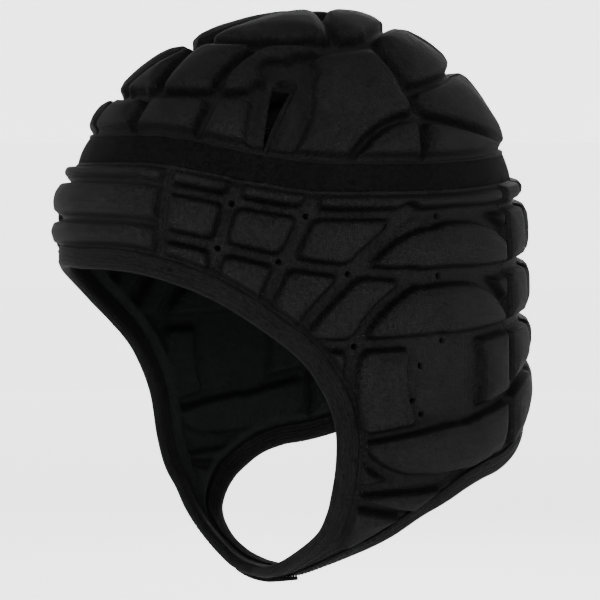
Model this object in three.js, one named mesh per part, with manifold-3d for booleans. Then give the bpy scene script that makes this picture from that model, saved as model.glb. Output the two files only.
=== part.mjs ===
// A padded rugby scrum cap, in millimetres, +Z up, with the wearer facing -Y.
// The origin is the inside of the crown's top, where it sits on the head.
// Every wall lies round one middle surface, addressed by an angle (0 is the front, 90 the
// wearer's left, 180 the back) and a level, the distance down from the top of the crown.

import * as THREE from 'three';
import { mergeGeometries, mergeVertices } from 'three/addons/utils/BufferGeometryUtils.js';
import Module from 'manifold-3d';

const wasm = await Module();
wasm.setup();

// Head form, measured to the middle of the wall
const templeHalfWidth = 87;
const foreheadReach = 119;
const napeReach = 95;
const crownRise = 100;
const jawDrop = 147.5;

// Levels of the velvet band and how its line dips over the ears
const crownSkirt = 97.5;
const bandWidth = 12.5;
const bandDip = 12.5;
const bandRearLift = 7.5;
const dipFrom = 18;
const dipTo = 70;
const liftFrom = 80;

// Wall thicknesses, to either side of the middle surface
const padOutward = 5;
const padInward = 6;
const channelThickness = 2.6;
const bandThickness = 2.6;

// Seams and flanges
const seamGap = 0.4;
const seamFlange = 2.2;
const hemFlange = 9.5;
const hemBeyond = 3;
const seamStations = 10;
const firstSeamShare = -0.02;
const seamShareStep = 0.07;
const channelSlope = 1.3;

// Tape folded over the edges of the two openings
const tapeCover = 7.5;
const tapeWall = 0.9;
const tapeClearance = 0.6;
const tapeShareOfStrap = 0.36;

// Closure under the chin
const chinTabLength = 40;
const chinTabWidth = 10;
const chinTabThickness = 1.8;
const chinTabClearance = 0.4;

// Levels where the strap starts and where its padding ends, as shares of the way down to
// the chin
const strapFrom = 0.72;
const strapFlatFrom = 0.87;

// Angles of the seams, in degrees from the front
const browSeamAngle = 29;
const napeSeamAngle = 121;

// Vent holes punched where channels cross
const ventDiameter = 2.6;
const ventSides = 6;

// Facets
const angleStep = 6;
const longestEdge = 28;
const splitPasses = 8;
const stationLength = 16;
const edgeStation = 14.4;
const stationSpare = 1.5;
const flatTolerance = 0.06;
const weldDistance = 0.12;
const smallFace = 0.02;
const uprightTilt = 0.02;
const weldTurn = 0.8;
const sameTurn = 0.995;
const easyBendRadius = 100;
const largestSag = 1.2;
const largestStrapSag = 0.45;

const channelHalf = channelThickness / 2;
const bandBottom = crownSkirt + bandWidth;

// The crown is a dome. Its sections, by the angle of an ellipse, have a spread that is a
// share of the widest section and a centre that is a share of the forehead's reach.
const crownSections = [
  { rise: 0, spread: 0, centre: 0.042 },
  { rise: 15, spread: 0.245, centre: 0.038 },
  { rise: 30, spread: 0.487, centre: 0.025 },
  { rise: 45, spread: 0.7, centre: 0.008 },
  { rise: 60, spread: 0.865, centre: 0 },
  { rise: 75, spread: 0.966, centre: 0 },
  { rise: 90, spread: 1, centre: 0 },
];

// Below the widest level the sections narrow to a keel under the chin. Each length is a
// share: of the jaw's drop, the half width, the forehead's reach and the nape's reach.
const jawSections = [
  { drop: 0.142, width: 1.006, front: 0.975, rear: 1, centre: 0 },
  { drop: 0.244, width: 1.011, front: 0.882, rear: 1.01, centre: 0 },
  { drop: 0.346, width: 1.011, front: 0.765, rear: 1.02, centre: 0 },
  { drop: 0.481, width: 1.011, front: 0.655, rear: 1.02, centre: 0 },
  { drop: 0.617, width: 1, front: 0.588, rear: 1.01, centre: 0 },
  { drop: 0.719, width: 0.948, front: 0.521, rear: 0.926, centre: -0.008 },
  { drop: 0.78, width: 0.874, front: 0.429, rear: 0.737, centre: -0.034 },
  { drop: 0.841, width: 0.782, front: 0.336, rear: 0.568, centre: -0.076 },
  { drop: 0.895, width: 0.632, front: 0.26, rear: 0.432, centre: -0.118 },
  { drop: 0.952, width: 0.402, front: 0.21, rear: 0.337, centre: -0.151 },
  { drop: 0.99, width: 0.184, front: 0.2, rear: 0.305, centre: -0.168 },
  { drop: 1, width: 0, front: 0.2, rear: 0.295, centre: -0.172 },
];

// Edges of the face and neck openings on the wearer's left. A level is a share of the way
// from the band's lower edge down to the chin.
const faceEdge = [
  { angle: 0, level: 0.184 }, { angle: 10, level: 0.183 }, { angle: 20, level: 0.187 },
  { angle: 30, level: 0.195 }, { angle: 38, level: 0.206 }, { angle: 45, level: 0.226 },
  { angle: 52, level: 0.268 }, { angle: 55.5, level: 0.3 }, { angle: 58, level: 0.345 },
  { angle: 59.5, level: 0.395 }, { angle: 59.5, level: 0.45 }, { angle: 58, level: 0.517 },
  { angle: 56, level: 0.59 }, { angle: 54, level: 0.675 }, { angle: 52.5, level: 0.76 },
  { angle: 52.5, level: 0.83 }, { angle: 55, level: 0.9 }, { angle: 59, level: 0.96 },
  { angle: 62, level: 1 },
];
const neckEdge = [
  { angle: 180, level: 0.462 }, { angle: 160, level: 0.468 }, { angle: 143, level: 0.487 },
  { angle: 131, level: 0.522 }, { angle: 121, level: 0.542 }, { angle: 112, level: 0.552 },
  { angle: 104, level: 0.577 }, { angle: 96.5, level: 0.632 }, { angle: 91.5, level: 0.7 },
  { angle: 86.5, level: 0.77 }, { angle: 83.5, level: 0.84 }, { angle: 86, level: 0.9 },
  { angle: 91, level: 0.95 }, { angle: 93, level: 1 },
];

// Quilting channels of the crown, each an arc through three places: start, middle and end,
// as [angle, share of the crown's skirt]. The mirrored ones repeat on the wearer's right.
const crownChannels = [
  { name: 'lower ring', width: 4.5, start: [-3, 0.81], middle: [28, 0.81], end: [49, 0.74] },
  { name: 'upper ring', width: 4, start: [-4, 0.485], middle: [33, 0.49], end: [60, 0.46] },
  { name: 'upper ring rear', width: 7, start: [60, 0.465], middle: [74, 0.47], end: [86, 0.44] },
  { name: 'front column', width: 4, start: [12, 0.81], middle: [9.5, 0.7], end: [3.5, 0.49] },
  { name: 'second column', width: 4, start: [35, 0.8], middle: [34.5, 0.63], end: [41.5, 0.48] },
  { name: 'low front column', width: 4, start: [12, 1.02], middle: [11.5, 0.9], end: [11, 0.81] },
  { name: 'low second column', width: 4, start: [34, 1.02], middle: [34.5, 0.9], end: [35, 0.81] },
  { name: 'column before the slit', width: 4, start: [48.5, 1.02], middle: [47.5, 0.85], end: [46.5, 0.72] },
  { name: 'slit front lip', width: 6, start: [50, 0.65], middle: [50.6, 0.82], end: [51, 1.02] },
  { name: 'slit rear lip', width: 6, start: [58, 0.65], middle: [54.8, 0.82], end: [51.5, 1.02] },
  { name: 'side block front', width: 4, start: [56.5, 0.56], middle: [62, 0.75], end: [56, 1.02] },
  { name: 'side block top', width: 4, start: [57, 0.57], middle: [68, 0.51], end: [85, 0.46] },
  { name: 'side block rear', width: 4, start: [85, 0.44], middle: [90.5, 0.62], end: [92, 0.81] },
  { name: 'arc front', width: 3.5, start: [71, 1.02], middle: [80, 0.86], end: [92, 0.81] },
  { name: 'arc rear', width: 3.5, start: [92, 0.81], middle: [116, 0.88], end: [152, 1.02] },
  { name: 'arc divider', width: 3, start: [93, 0.81], middle: [91.5, 0.9], end: [90, 1.02] },
  { name: 'rear band', width: 4, start: [91.5, 0.7], middle: [110, 0.655], end: [138, 0.6] },
  { name: 'rear band back', width: 4, start: [138, 0.6], middle: [159, 0.6], end: [183, 0.61] },
  { name: 'rear column', width: 4, start: [131, 0.3], middle: [138, 0.6], end: [147, 1.02] },
  { name: 'top rear edge', width: 5, start: [86, 0.44], middle: [103, 0.34], end: [139, 0.29] },
  { name: 'top rear edge back', width: 5, start: [139, 0.29], middle: [160, 0.3], end: [184, 0.31] },
  { name: 'top cross', width: 4, start: [55, 0.01], middle: [66, 0.22], end: [70, 0.46] },
];
const crownCentreChannels = [
  { name: 'top front', width: 4, start: [0, -0.04], middle: [0, 0.25], end: [0, 0.5] },
  { name: 'top back', width: 4, start: [180, -0.02], middle: [180, 0.5], end: [180, 1.02] },
];

// Slit over each temple: a narrow triangle that points down to the band
const slit = [
  { angle: 50.6, level: 0.68 }, { angle: 57, level: 0.68 }, { angle: 51.6, level: 0.985 },
];

// Quilting channels of the wrap on the wearer's left, as [angle, share of the way from the
// band's lower edge to the chin]
const sideChannels = [
  { name: 'first row', width: 4.5, start: [28, 0.041], middle: [75, 0.041], end: [122, 0.041] },
  { name: 'second row front', width: 5, start: [28, 0.121], middle: [56, 0.129], end: [84, 0.148] },
  { name: 'second row rear', width: 6, start: [84, 0.15], middle: [103, 0.152], end: [122, 0.155] },
  { name: 'first upright', width: 6, start: [47, -0.01], middle: [44, 0.08], end: [40.5, 0.2] },
  { name: 'second upright', width: 6.5, start: [64, -0.01], middle: [59.5, 0.09], end: [50, 0.235] },
  { name: 'third upright', width: 6, start: [85, 0.035], middle: [71.8, 0.14], end: [56, 0.262] },
  { name: 'lens top front', width: 5, start: [72, 0.137], middle: [79, 0.087], end: [90, 0.053] },
  { name: 'lens top rear', width: 5, start: [90, 0.053], middle: [107, 0.054], end: [122, 0.103] },
  { name: 'moon front', width: 5, start: [86, 0.155], middle: [76, 0.212], end: [69.5, 0.27] },
  { name: 'moon top', width: 5, start: [88, 0.158], middle: [107, 0.166], end: [122, 0.25] },
  { name: 'ear line front', width: 5, start: [56, 0.27], middle: [75, 0.267], end: [92, 0.266] },
  { name: 'ear line rear', width: 4.5, start: [92, 0.266], middle: [106, 0.263], end: [122, 0.258] },
  { name: 'cheek upright', width: 6, start: [69.5, 0.272], middle: [65, 0.35], end: [64.5, 0.44] },
  { name: 'jaw line front', width: 3.6, start: [62, 0.447], middle: [84, 0.426], end: [100, 0.411] },
  { name: 'jaw line rear', width: 4, start: [100, 0.411], middle: [112, 0.399], end: [122, 0.384] },
  { name: 'crescent front', width: 5, start: [65, 0.452], middle: [71, 0.507], end: [86, 0.537] },
  { name: 'crescent bottom', width: 5, start: [86, 0.537], middle: [100, 0.536], end: [113, 0.515] },
  { name: 'crescent rear', width: 4, start: [113, 0.515], middle: [119, 0.485], end: [121, 0.42] },
  { name: 'leaf top', width: 5, start: [58, 0.553], middle: [78, 0.546], end: [100, 0.536] },
  { name: 'leaf bottom', width: 4, start: [58, 0.573], middle: [75, 0.6], end: [97, 0.622] },
];
const browChannels = [
  { name: 'top roll', width: 3, start: [-30, 0.038], middle: [0, 0.033], end: [30, 0.038] },
  { name: 'lower roll', width: 3, start: [-30, 0.105], middle: [0, 0.101], end: [30, 0.105] },
];
const napeChannels = [
  { name: 'first row', width: 4.5, start: [120, 0.041], middle: [150, 0.037], end: [182, 0.036] },
  { name: 'second row', width: 5, start: [120, 0.154], middle: [150, 0.147], end: [182, 0.146] },
  { name: 'third row', width: 5, start: [120, 0.26], middle: [150, 0.255], end: [182, 0.254] },
  { name: 'diagonal', width: 5, start: [120, 0.386], middle: [143, 0.346], end: [182, 0.33] },
  { name: 'upright', width: 4, start: [138, -0.01], middle: [139, 0.17], end: [141, 0.35] },
];
const napeCentreChannels = [
  { name: 'centre', width: 4, start: [180, -0.01], middle: [180, 0.2], end: [180, 0.48] },
];

// Vent holes of the side panel, as angle and share of the way down to the chin
const sideVents = [
  { angle: 45.3, level: 0.044 }, { angle: 62, level: 0.046 }, { angle: 42.4, level: 0.126 },
  { angle: 56, level: 0.131 }, { angle: 71, level: 0.144 }, { angle: 79, level: 0.062 },
  { angle: 93, level: 0.046 }, { angle: 93, level: 0.152 }, { angle: 69.5, level: 0.272 },
  { angle: 94, level: 0.268 }, { angle: 87, level: 0.31 }, { angle: 84, level: 0.372 },
  { angle: 87, level: 0.4 },
];
const crownVents = [{ angle: 125, level: 0.45 }];

const toRadians = THREE.MathUtils.degToRad;
const { smoothstep } = THREE.MathUtils;

// The middle surface

function sectionRows() {
  const rows = crownSections.map(({ rise, spread, centre }) => ({
    z: padInward - crownRise * (1 - Math.cos(toRadians(rise))),
    width: templeHalfWidth * spread,
    front: foreheadReach * spread,
    rear: napeReach * spread,
    centre: foreheadReach * centre,
  }));
  for (const { drop, width, front, rear, centre } of jawSections) {
    rows.push({
      z: padInward - crownRise - jawDrop * drop,
      width: templeHalfWidth * width,
      front: foreheadReach * front,
      rear: napeReach * rear,
      centre: foreheadReach * centre,
    });
  }
  return rows;
}

const sectionKeys = ['z', 'width', 'front', 'rear', 'centre'];

// A smooth curve through the section rows, with the distance down the side at each sample
function sampleSections(samplesPerRow = 24) {
  const rows = sectionRows();
  const last = rows.length - 1;
  const mirrored = (row) => ({ ...row, width: -row.width, front: -row.front, rear: -row.rear });
  const before = mirrored(rows[1]);
  const after = { ...rows[last - 1], width: -rows[last - 1].width };
  const extended = [before, ...rows, after];
  const samples = [];
  for (let row = 0; row < last; row += 1) {
    for (let step = 0; step < samplesPerRow; step += 1) {
      samples.push(blendRows(extended.slice(row, row + 4), step / samplesPerRow));
    }
  }
  samples.push(rows[last]);
  samples[0].distance = 0;
  for (let i = 1; i < samples.length; i += 1) {
    const step = Math.hypot(samples[i].width - samples[i - 1].width, samples[i].z - samples[i - 1].z);
    samples[i].distance = samples[i - 1].distance + step;
  }
  return samples;
}

// Catmull-Rom blend of four rows, between the second and the third
function blendRows([a, b, c, d], s) {
  const blended = {};
  for (const key of sectionKeys) {
    const cubic = -a[key] + 3 * b[key] - 3 * c[key] + d[key];
    const square = 2 * a[key] - 5 * b[key] + 4 * c[key] - d[key];
    blended[key] = 0.5 * (2 * b[key] + (c[key] - a[key]) * s + square * s * s + cubic * s * s * s);
  }
  return blended;
}

const sections = sampleSections();
const chinLevel = sections[sections.length - 1].distance;

function sectionAt(distance) {
  let low = 0;
  let high = sections.length - 1;
  while (high - low > 1) {
    const half = (low + high) >> 1;
    if (sections[half].distance > distance) high = half;
    else low = half;
  }
  const span = sections[high].distance - sections[low].distance;
  const share = THREE.MathUtils.clamp((distance - sections[low].distance) / span, 0, 1);
  const section = {};
  for (const key of sectionKeys) {
    section[key] = THREE.MathUtils.lerp(sections[low][key], sections[high][key], share);
  }
  return section;
}

// How far the band's line lies below the front's at an angle, and where the dip fades out
function dipAt(angle) {
  const turn = Math.abs(((angle + 540) % 360) - 180);
  return bandDip * smoothstep(turn, dipFrom, dipTo) - bandRearLift * smoothstep(turn, liftFrom, 180);
}

function dipWindow(level) {
  const grows = smoothstep(level, 0.2 * crownSkirt, 0.97 * crownSkirt);
  const fades = smoothstep(level, 0.54 * chinLevel, 0.86 * chinLevel);
  return grows * (1 - fades);
}

function surfacePoint(angle, level) {
  const section = sectionAt(level + dipAt(angle) * dipWindow(level));
  const cosine = Math.cos(toRadians(angle));
  const reach = cosine > 0 ? section.front : section.rear;
  return new THREE.Vector3(
    section.width * Math.sin(toRadians(angle)),
    section.centre - reach * cosine,
    section.z,
  );
}

// Flat layouts in which the panels are cut before they are bent round the head. The crown's
// is a disc seen from above, and the wrap's is a strip seen from outside.
const crownLayout = {
  flatten: ({ angle, level }) => [level * Math.sin(toRadians(angle)), -level * Math.cos(toRadians(angle))],
  place: (x, y) => ({ angle: THREE.MathUtils.radToDeg(Math.atan2(x, -y)), level: Math.hypot(x, y) }),
  steady: (y) => y,
};
const layoutPerDegree = (templeHalfWidth + (foreheadReach + napeReach) / 2) * Math.PI / 360;
const wrapLayout = {
  flatten: ({ angle, level }) => [angle * layoutPerDegree, -level],
  place: (x, y) => ({ angle: x / layoutPerDegree, level: -y }),
  steady: (y) => Math.max(y, 0.6 - chinLevel),
};

function spotInSpace(layout, x, y) {
  const { angle, level } = layout.place(x, y);
  return surfacePoint(angle, level);
}

// Steps of the surface for one unit of each of a layout's directions, and its normal
function frameAt(layout, [x, y]) {
  const steadyY = layout.steady(y);
  const alongX = spotInSpace(layout, x + 0.5, steadyY).sub(spotInSpace(layout, x - 0.5, steadyY));
  const alongY = spotInSpace(layout, x, steadyY + 0.5).sub(spotInSpace(layout, x, steadyY - 0.5));
  const normal = new THREE.Vector3().crossVectors(alongX, alongY).normalize();
  return { alongX, alongY, normal };
}

// The flat spot reached by walking on the surface from a spot in a direction of space
function walk(layout, spot, direction, distance, steps = 3) {
  let [x, y] = spot;
  for (let step = 0; step < steps; step += 1) {
    const { alongX, alongY } = frameAt(layout, [x, y]);
    const a = alongX.dot(alongX);
    const b = alongX.dot(alongY);
    const c = alongY.dot(alongY);
    const towardsX = direction.dot(alongX) * (distance / steps);
    const towardsY = direction.dot(alongY) * (distance / steps);
    const scale = a * c - b * b;
    x += (c * towardsX - b * towardsY) / scale;
    y += (a * towardsY - b * towardsX) / scale;
  }
  return [x, y];
}

// A point at a height above the middle surface, over a flat spot
function raised(layout, [x, y], height) {
  return spotInSpace(layout, x, y).addScaledVector(frameAt(layout, [x, y]).normal, height);
}

const crownLevel = (share) => crownSkirt * share;
const wrapLevel = (share) => bandBottom + (chinLevel - bandBottom) * share;

// Lines on the surface

// An arc through three places, in steps of about a station's length
function arcPlaces({ start, middle, end }, levelOf) {
  const [p, m, q] = [start, middle, end].map(([angle, share]) => new THREE.Vector2(angle, levelOf(share)));
  const control = m.clone().multiplyScalar(2).sub(p.clone().add(q).multiplyScalar(0.5));
  const curve = new THREE.QuadraticBezierCurve(p, control, q);
  return evenPlaces((share) => curve.getPoint(share), stationLength);
}

// A smooth edge through the rows of a table
function edgePlaces(rows) {
  const curve = new THREE.SplineCurve(rows.map(({ angle, level }) => new THREE.Vector2(angle, wrapLevel(level))));
  return evenPlaces((share) => curve.getPoint(share), edgeStation);
}

// Places along a line on the surface, closer together where the surface bends more
function evenPlaces(pointAt, spacing) {
  const fine = 160;
  const travelled = [0];
  const spots = [pointAt(0)];
  let previous = surfacePoint(spots[0].x, spots[0].y);
  let heading = null;
  for (let i = 1; i <= fine; i += 1) {
    spots.push(pointAt(i / fine));
    const current = surfacePoint(spots[i].x, spots[i].y);
    const step = current.clone().sub(previous);
    const length = Math.max(step.length(), 1e-6);
    const bend = heading ? easyBendRadius * heading.angleTo(step) / length : 1;
    travelled.push(travelled[i - 1] + length * Math.sqrt(THREE.MathUtils.clamp(bend, 1, 6)));
    previous = current;
    heading = step;
  }
  const count = Math.max(2, Math.round(travelled[fine] / spacing));
  const places = [];
  let index = 0;
  for (let i = 0; i <= count; i += 1) {
    const target = travelled[fine] * i / count;
    while (index < fine - 1 && travelled[index + 1] < target) index += 1;
    const share = (target - travelled[index]) / Math.max(travelled[index + 1] - travelled[index], 1e-6);
    const spot = spots[index].clone().lerp(spots[index + 1], THREE.MathUtils.clamp(share, 0, 1));
    places.push({ angle: spot.x, level: spot.y });
  }
  return places;
}

// Directions across a line of places, to the right as it runs, seen from outside
function acrossDirections(places, layout) {
  const spots = places.map(layout.flatten);
  return spots.map((spot, i) => {
    const next = spots[Math.min(i + 1, spots.length - 1)];
    const last = spots[Math.max(i - 1, 0)];
    const { alongX, alongY, normal } = frameAt(layout, spot);
    const tangent = alongX.clone().multiplyScalar(next[0] - last[0])
      .addScaledVector(alongY, next[1] - last[1]).normalize();
    return new THREE.Vector3().crossVectors(tangent, normal).normalize();
  });
}

// Solids

function toSolid(geometry) {
  const bare = geometry.clone();
  bare.deleteAttribute('normal');
  bare.deleteAttribute('uv');
  const merged = mergeVertices(bare, 1e-4);
  return new wasm.Manifold(new wasm.Mesh({
    numProp: 3,
    vertProperties: new Float32Array(merged.attributes.position.array),
    triVerts: new Uint32Array(merged.index.array),
  }));
}

function facesGeometry(points, faces) {
  const geometry = new THREE.BufferGeometry();
  geometry.setAttribute('position', new THREE.BufferAttribute(new Float32Array(points.flat()), 3));
  geometry.setIndex(faces);
  return geometry;
}

// Rings of equally many points joined into one closed body, with ends or as a loop
function ringsGeometry(rings, loop) {
  const size = rings[0].length;
  const faces = [];
  const spans = loop ? rings.length : rings.length - 1;
  for (let i = 0; i < spans; i += 1) {
    const here = i * size;
    const next = ((i + 1) % rings.length) * size;
    for (let k = 0; k < size; k += 1) {
      const after = (k + 1) % size;
      faces.push(here + k, next + k, next + after, here + k, next + after, here + after);
    }
  }
  if (!loop) {
    const end = (rings.length - 1) * size;
    for (let k = 1; k < size - 1; k += 1) {
      faces.push(0, k, k + 1, end, end + k + 1, end + k);
    }
  }
  return facesGeometry(rings.flat(), faces);
}

// A slab in the flat layout, from its outline of places
function slab(outline, layout, low, high) {
  const shape = new THREE.Shape(outline.map((place) => new THREE.Vector2(...layout.flatten(place))));
  const geometry = new THREE.ExtrudeGeometry(shape, { depth: high - low, bevelEnabled: false });
  return toSolid(geometry.translate(0, 0, low));
}

// A cutter with sloping sides that follows a line of places, from a channel's floor outwards
function ribbonCutter(places, layout, left, right, floor, top) {
  const across = acrossDirections(places, layout);
  const rings = places.map((place, i) => {
    const corner = (offset, z) => [...walk(layout, layout.flatten(place), across[i], offset), z];
    return [
      corner(-left, floor), corner(right, floor),
      corner(right + channelSlope, top), corner(-left - channelSlope, top),
    ];
  });
  return toSolid(outward(ringsGeometry(rings, false)));
}

// Cuts the outer and inner halves of a channel along a line
function cutBothSides(solid, places, layout, left, right) {
  const outer = ribbonCutter(places, layout, left, right, channelHalf, padOutward + 1);
  const inner = ribbonCutter(places, layout, left, right, -channelHalf, -padInward - 1);
  return solid.subtract(outer).subtract(inner);
}

function cutChannels(solid, channels, layout, levelOf) {
  let result = solid;
  for (const channel of channels) {
    const half = channel.width / 2 - channelSlope / 2;
    const places = arcPlaces(channel, levelOf);
    result = result.subtract(ribbonCutter(places, layout, half, half, channelHalf, padOutward + 1));
  }
  return result;
}

// The largest body of a cut solid, without the chips left where cuts cross
function mainBody(solid) {
  return solid.decompose().sort((a, b) => b.volume() - a.volume())[0];
}

const mirroredChannels = (channels) => channels.map(({ name, width, start, middle, end }) => ({
  name,
  width,
  start: [-start[0], start[1]],
  middle: [-middle[0], middle[1]],
  end: [-end[0], end[1]],
}));

// The same channels on the other side of the back
const rearMirroredChannels = (channels) => channels.map(({ name, width, start, middle, end }) => ({
  name,
  width,
  start: [360 - start[0], start[1]],
  middle: [360 - middle[0], middle[1]],
  end: [360 - end[0], end[1]],
}));

function punchVents(solid, vents, layout, levelOf) {
  let result = solid;
  for (const { angle, level } of vents) {
    const drill = new THREE.CylinderGeometry(
      ventDiameter / 2, ventDiameter / 2, 2 * (padOutward + padInward), ventSides,
    ).rotateX(Math.PI / 2);
    const [x, y] = layout.flatten({ angle, level: levelOf(level) });
    result = result.subtract(toSolid(drill.translate(x, y, 0)));
  }
  return result;
}

// Bends a flat solid round the head, after splitting the edges that are too long to bend
function bend(solid, layout) {
  const mesh = mainBody(solid).getMesh();
  const flat = [];
  for (let i = 0; i < mesh.vertProperties.length; i += mesh.numProp) {
    flat.push(Array.from(mesh.vertProperties.slice(i, i + 3)));
  }
  const toSpace = ([x, y, z]) => raised(layout, [x, y], z);
  const space = flat.map(toSpace);
  let faces = [];
  for (let i = 0; i < mesh.triVerts.length; i += 3) faces.push(Array.from(mesh.triVerts.slice(i, i + 3)));
  faces = dropSpareCorners(faces, flat);
  for (let pass = 0; pass < splitPasses; pass += 1) {
    swapDiagonals(faces, flat);
    const middles = new Map();
    const middleOf = (a, b) => {
      const key = a < b ? `${a},${b}` : `${b},${a}`;
      if (middles.has(key)) return middles.get(key);
      const spot = flat[a].map((value, k) => (value + flat[b][k]) / 2);
      const bent = toSpace(spot);
      const chordMiddle = space[a].clone().add(space[b]).multiplyScalar(0.5);
      const allowedSag = layout.place(spot[0], spot[1]).level > wrapLevel(strapFrom) ? largestStrapSag : largestSag;
      const fits = space[a].distanceTo(space[b]) <= longestEdge && bent.distanceTo(chordMiddle) <= allowedSag;
      middles.set(key, fits ? -1 : flat.length);
      if (!fits) {
        flat.push(spot);
        space.push(bent);
      }
      return middles.get(key);
    };
    const count = flat.length;
    faces = faces.flatMap((face) => splitFace(face, middleOf));
    if (flat.length === count) break;
  }
  return facesGeometry(space.map((point) => point.toArray()), faces.flat());
}

// Removes the corners that the cuts left inside flat parts of a body or very close together.
// A corner on an upright wall stays, because the neighbouring piece has one opposite it.
function dropSpareCorners(faces, flat) {
  const corners = flat.map((spot) => new THREE.Vector3(...spot));
  const around = flat.map(() => new Set());
  const kept = faces.map((face) => [...face]);
  kept.forEach((face, index) => face.forEach((corner) => around[corner].add(index)));
  const normalOf = ([a, b, c]) => new THREE.Vector3()
    .crossVectors(corners[b].clone().sub(corners[a]), corners[c].clone().sub(corners[a]));
  const neighboursOf = (corner) => new Set([...around[corner]].flatMap((index) => kept[index])
    .filter((other) => other !== corner));
  const upright = (corner) => [...around[corner]]
    .some((index) => Math.abs(normalOf(kept[index]).normalize().z) < uprightTilt);
  const canMove = (from, to) => [...around[from]].every((index) => {
    if (kept[index].includes(to)) return true;
    const before = normalOf(kept[index]);
    const after = normalOf(kept[index].map((corner) => (corner === from ? to : corner)));
    if (corners[from].distanceTo(corners[to]) < weldDistance) {
      return before.length() < smallFace || after.normalize().dot(before.normalize()) > weldTurn;
    }
    if (upright(from) || after.length() < smallFace) return false;
    if (after.normalize().dot(before.normalize()) < sameTurn) return false;
    return Math.abs(before.dot(corners[to].clone().sub(corners[from]))) < flatTolerance;
  });
  for (let turn = 0; turn < 2 * flat.length; turn += 1) {
    const corner = turn % flat.length;
    if (around[corner].size === 0) continue;
    const neighbours = neighboursOf(corner);
    const target = [...neighbours]
      .sort((a, b) => corners[a].distanceTo(corners[corner]) - corners[b].distanceTo(corners[corner]))
      .find((other) => canMove(corner, other)
        && [...neighboursOf(other)].filter((shared) => neighbours.has(shared)).length === 2);
    if (target === undefined) continue;
    for (const index of [...around[corner]]) {
      if (kept[index].includes(target)) {
        kept[index].forEach((other) => around[other].delete(index));
        kept[index] = null;
      } else {
        kept[index] = kept[index].map((other) => (other === corner ? target : other));
        around[target].add(index);
      }
    }
    around[corner].clear();
  }
  return kept.filter((face) => face !== null);
}

// Swaps the diagonals of level faces until none of their triangles can be made less thin
function swapDiagonals(faces, flat) {
  const key = (a, b) => a * flat.length + b;
  const owners = new Map();
  const claim = (index, face) => {
    faces[index] = face;
    face.forEach((a, k) => owners.set(key(a, face[(k + 1) % 3]), index));
  };
  faces.forEach((face, index) => claim(index, face));
  const waiting = faces.flatMap(([a, b, c]) => [[a, b], [b, c], [c, a]]);
  while (waiting.length > 0) {
    const [a, b] = waiting.pop();
    const here = owners.get(key(a, b));
    const there = owners.get(key(b, a));
    if (here === undefined || there === undefined) continue;
    const c = faces[here].find((corner) => corner !== a && corner !== b);
    const d = faces[there].find((corner) => corner !== a && corner !== b);
    if (owners.has(key(c, d)) || owners.has(key(d, c))) continue;
    if (!improves(flat[a], flat[b], flat[c], flat[d])) continue;
    owners.delete(key(a, b));
    owners.delete(key(b, a));
    claim(here, [a, d, c]);
    claim(there, [d, b, c]);
    waiting.push([a, d], [d, b], [b, c], [c, a]);
  }
}

// Whether the diagonal from c to d is better than the one from a to b
function improves(a, b, c, d) {
  const heights = [a, b, c, d].map((corner) => corner[2]);
  if (Math.max(...heights) - Math.min(...heights) > 1e-4) return false;
  const twiceArea = (p, q, r) => (q[0] - p[0]) * (r[1] - p[1]) - (q[1] - p[1]) * (r[0] - p[0]);
  const turn = Math.sign(twiceArea(a, b, c) + twiceArea(b, a, d));
  if (turn * twiceArea(a, d, c) < 1e-3 || turn * twiceArea(d, b, c) < 1e-3) return false;
  const cosineAt = (p, q, r) => {
    const [ux, uy, vx, vy] = [q[0] - p[0], q[1] - p[1], r[0] - p[0], r[1] - p[1]];
    return (ux * vx + uy * vy) / (Math.hypot(ux, uy) * Math.hypot(vx, vy));
  };
  return cosineAt(c, a, b) + cosineAt(d, a, b) < -1e-3;
}

// Splits a triangle at the middles of its long edges
function splitFace([a, b, c], middleOf) {
  const ab = middleOf(a, b);
  const bc = middleOf(b, c);
  const ca = middleOf(c, a);
  const long = [ab, bc, ca].filter((middle) => middle >= 0).length;
  if (long === 0) return [[a, b, c]];
  if (long === 3) return [[a, ab, ca], [ab, b, bc], [ca, bc, c], [ab, bc, ca]];
  if (long === 1) {
    if (ab >= 0) return [[a, ab, c], [ab, b, c]];
    if (bc >= 0) return [[a, b, bc], [a, bc, c]];
    return [[a, b, ca], [ca, b, c]];
  }
  if (ab < 0) return [[c, ca, bc], [ca, a, bc], [a, b, bc]];
  if (bc < 0) return [[a, ab, ca], [ab, b, ca], [ca, b, c]];
  return [[b, bc, ab], [bc, c, ab], [ab, c, a]];
}

function mirrorGeometry(geometry) {
  const mirrored = geometry.clone().scale(-1, 1, 1);
  const index = Array.from(geometry.index.array);
  for (let i = 0; i < index.length; i += 3) [index[i], index[i + 1]] = [index[i + 1], index[i]];
  mirrored.setIndex(index);
  return mirrored;
}

// Outlines of the panels

const halfGap = seamGap / 2;

// Angles at which rims that face each other across the band share their facets
function rimAngles(from, to) {
  const angles = [from];
  for (let angle = Math.ceil((from + 0.5) / angleStep) * angleStep; angle < to - 0.5; angle += angleStep) {
    angles.push(angle);
  }
  angles.push(to);
  return angles;
}

const ringPlaces = (from, to, level) => rimAngles(from, to).map((angle) => ({ angle, level }));

// Degrees that half of a seam's gap takes at a level of a seam
function seamTurn(angle, level) {
  const { alongX } = frameAt(wrapLayout, wrapLayout.flatten({ angle, level }));
  return halfGap / (alongX.length() * layoutPerDegree);
}

// The place of a line at an angle, between its two nearest places
function placeAt(line, angle) {
  const index = line.findIndex((place, i) => i > 0
    && (place.angle - angle) * (line[i - 1].angle - angle) <= 0);
  const [before, after] = [line[index - 1], line[index]];
  const share = (angle - before.angle) / (after.angle - before.angle);
  return { index, place: { angle, level: THREE.MathUtils.lerp(before.level, after.level, share) } };
}

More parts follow.
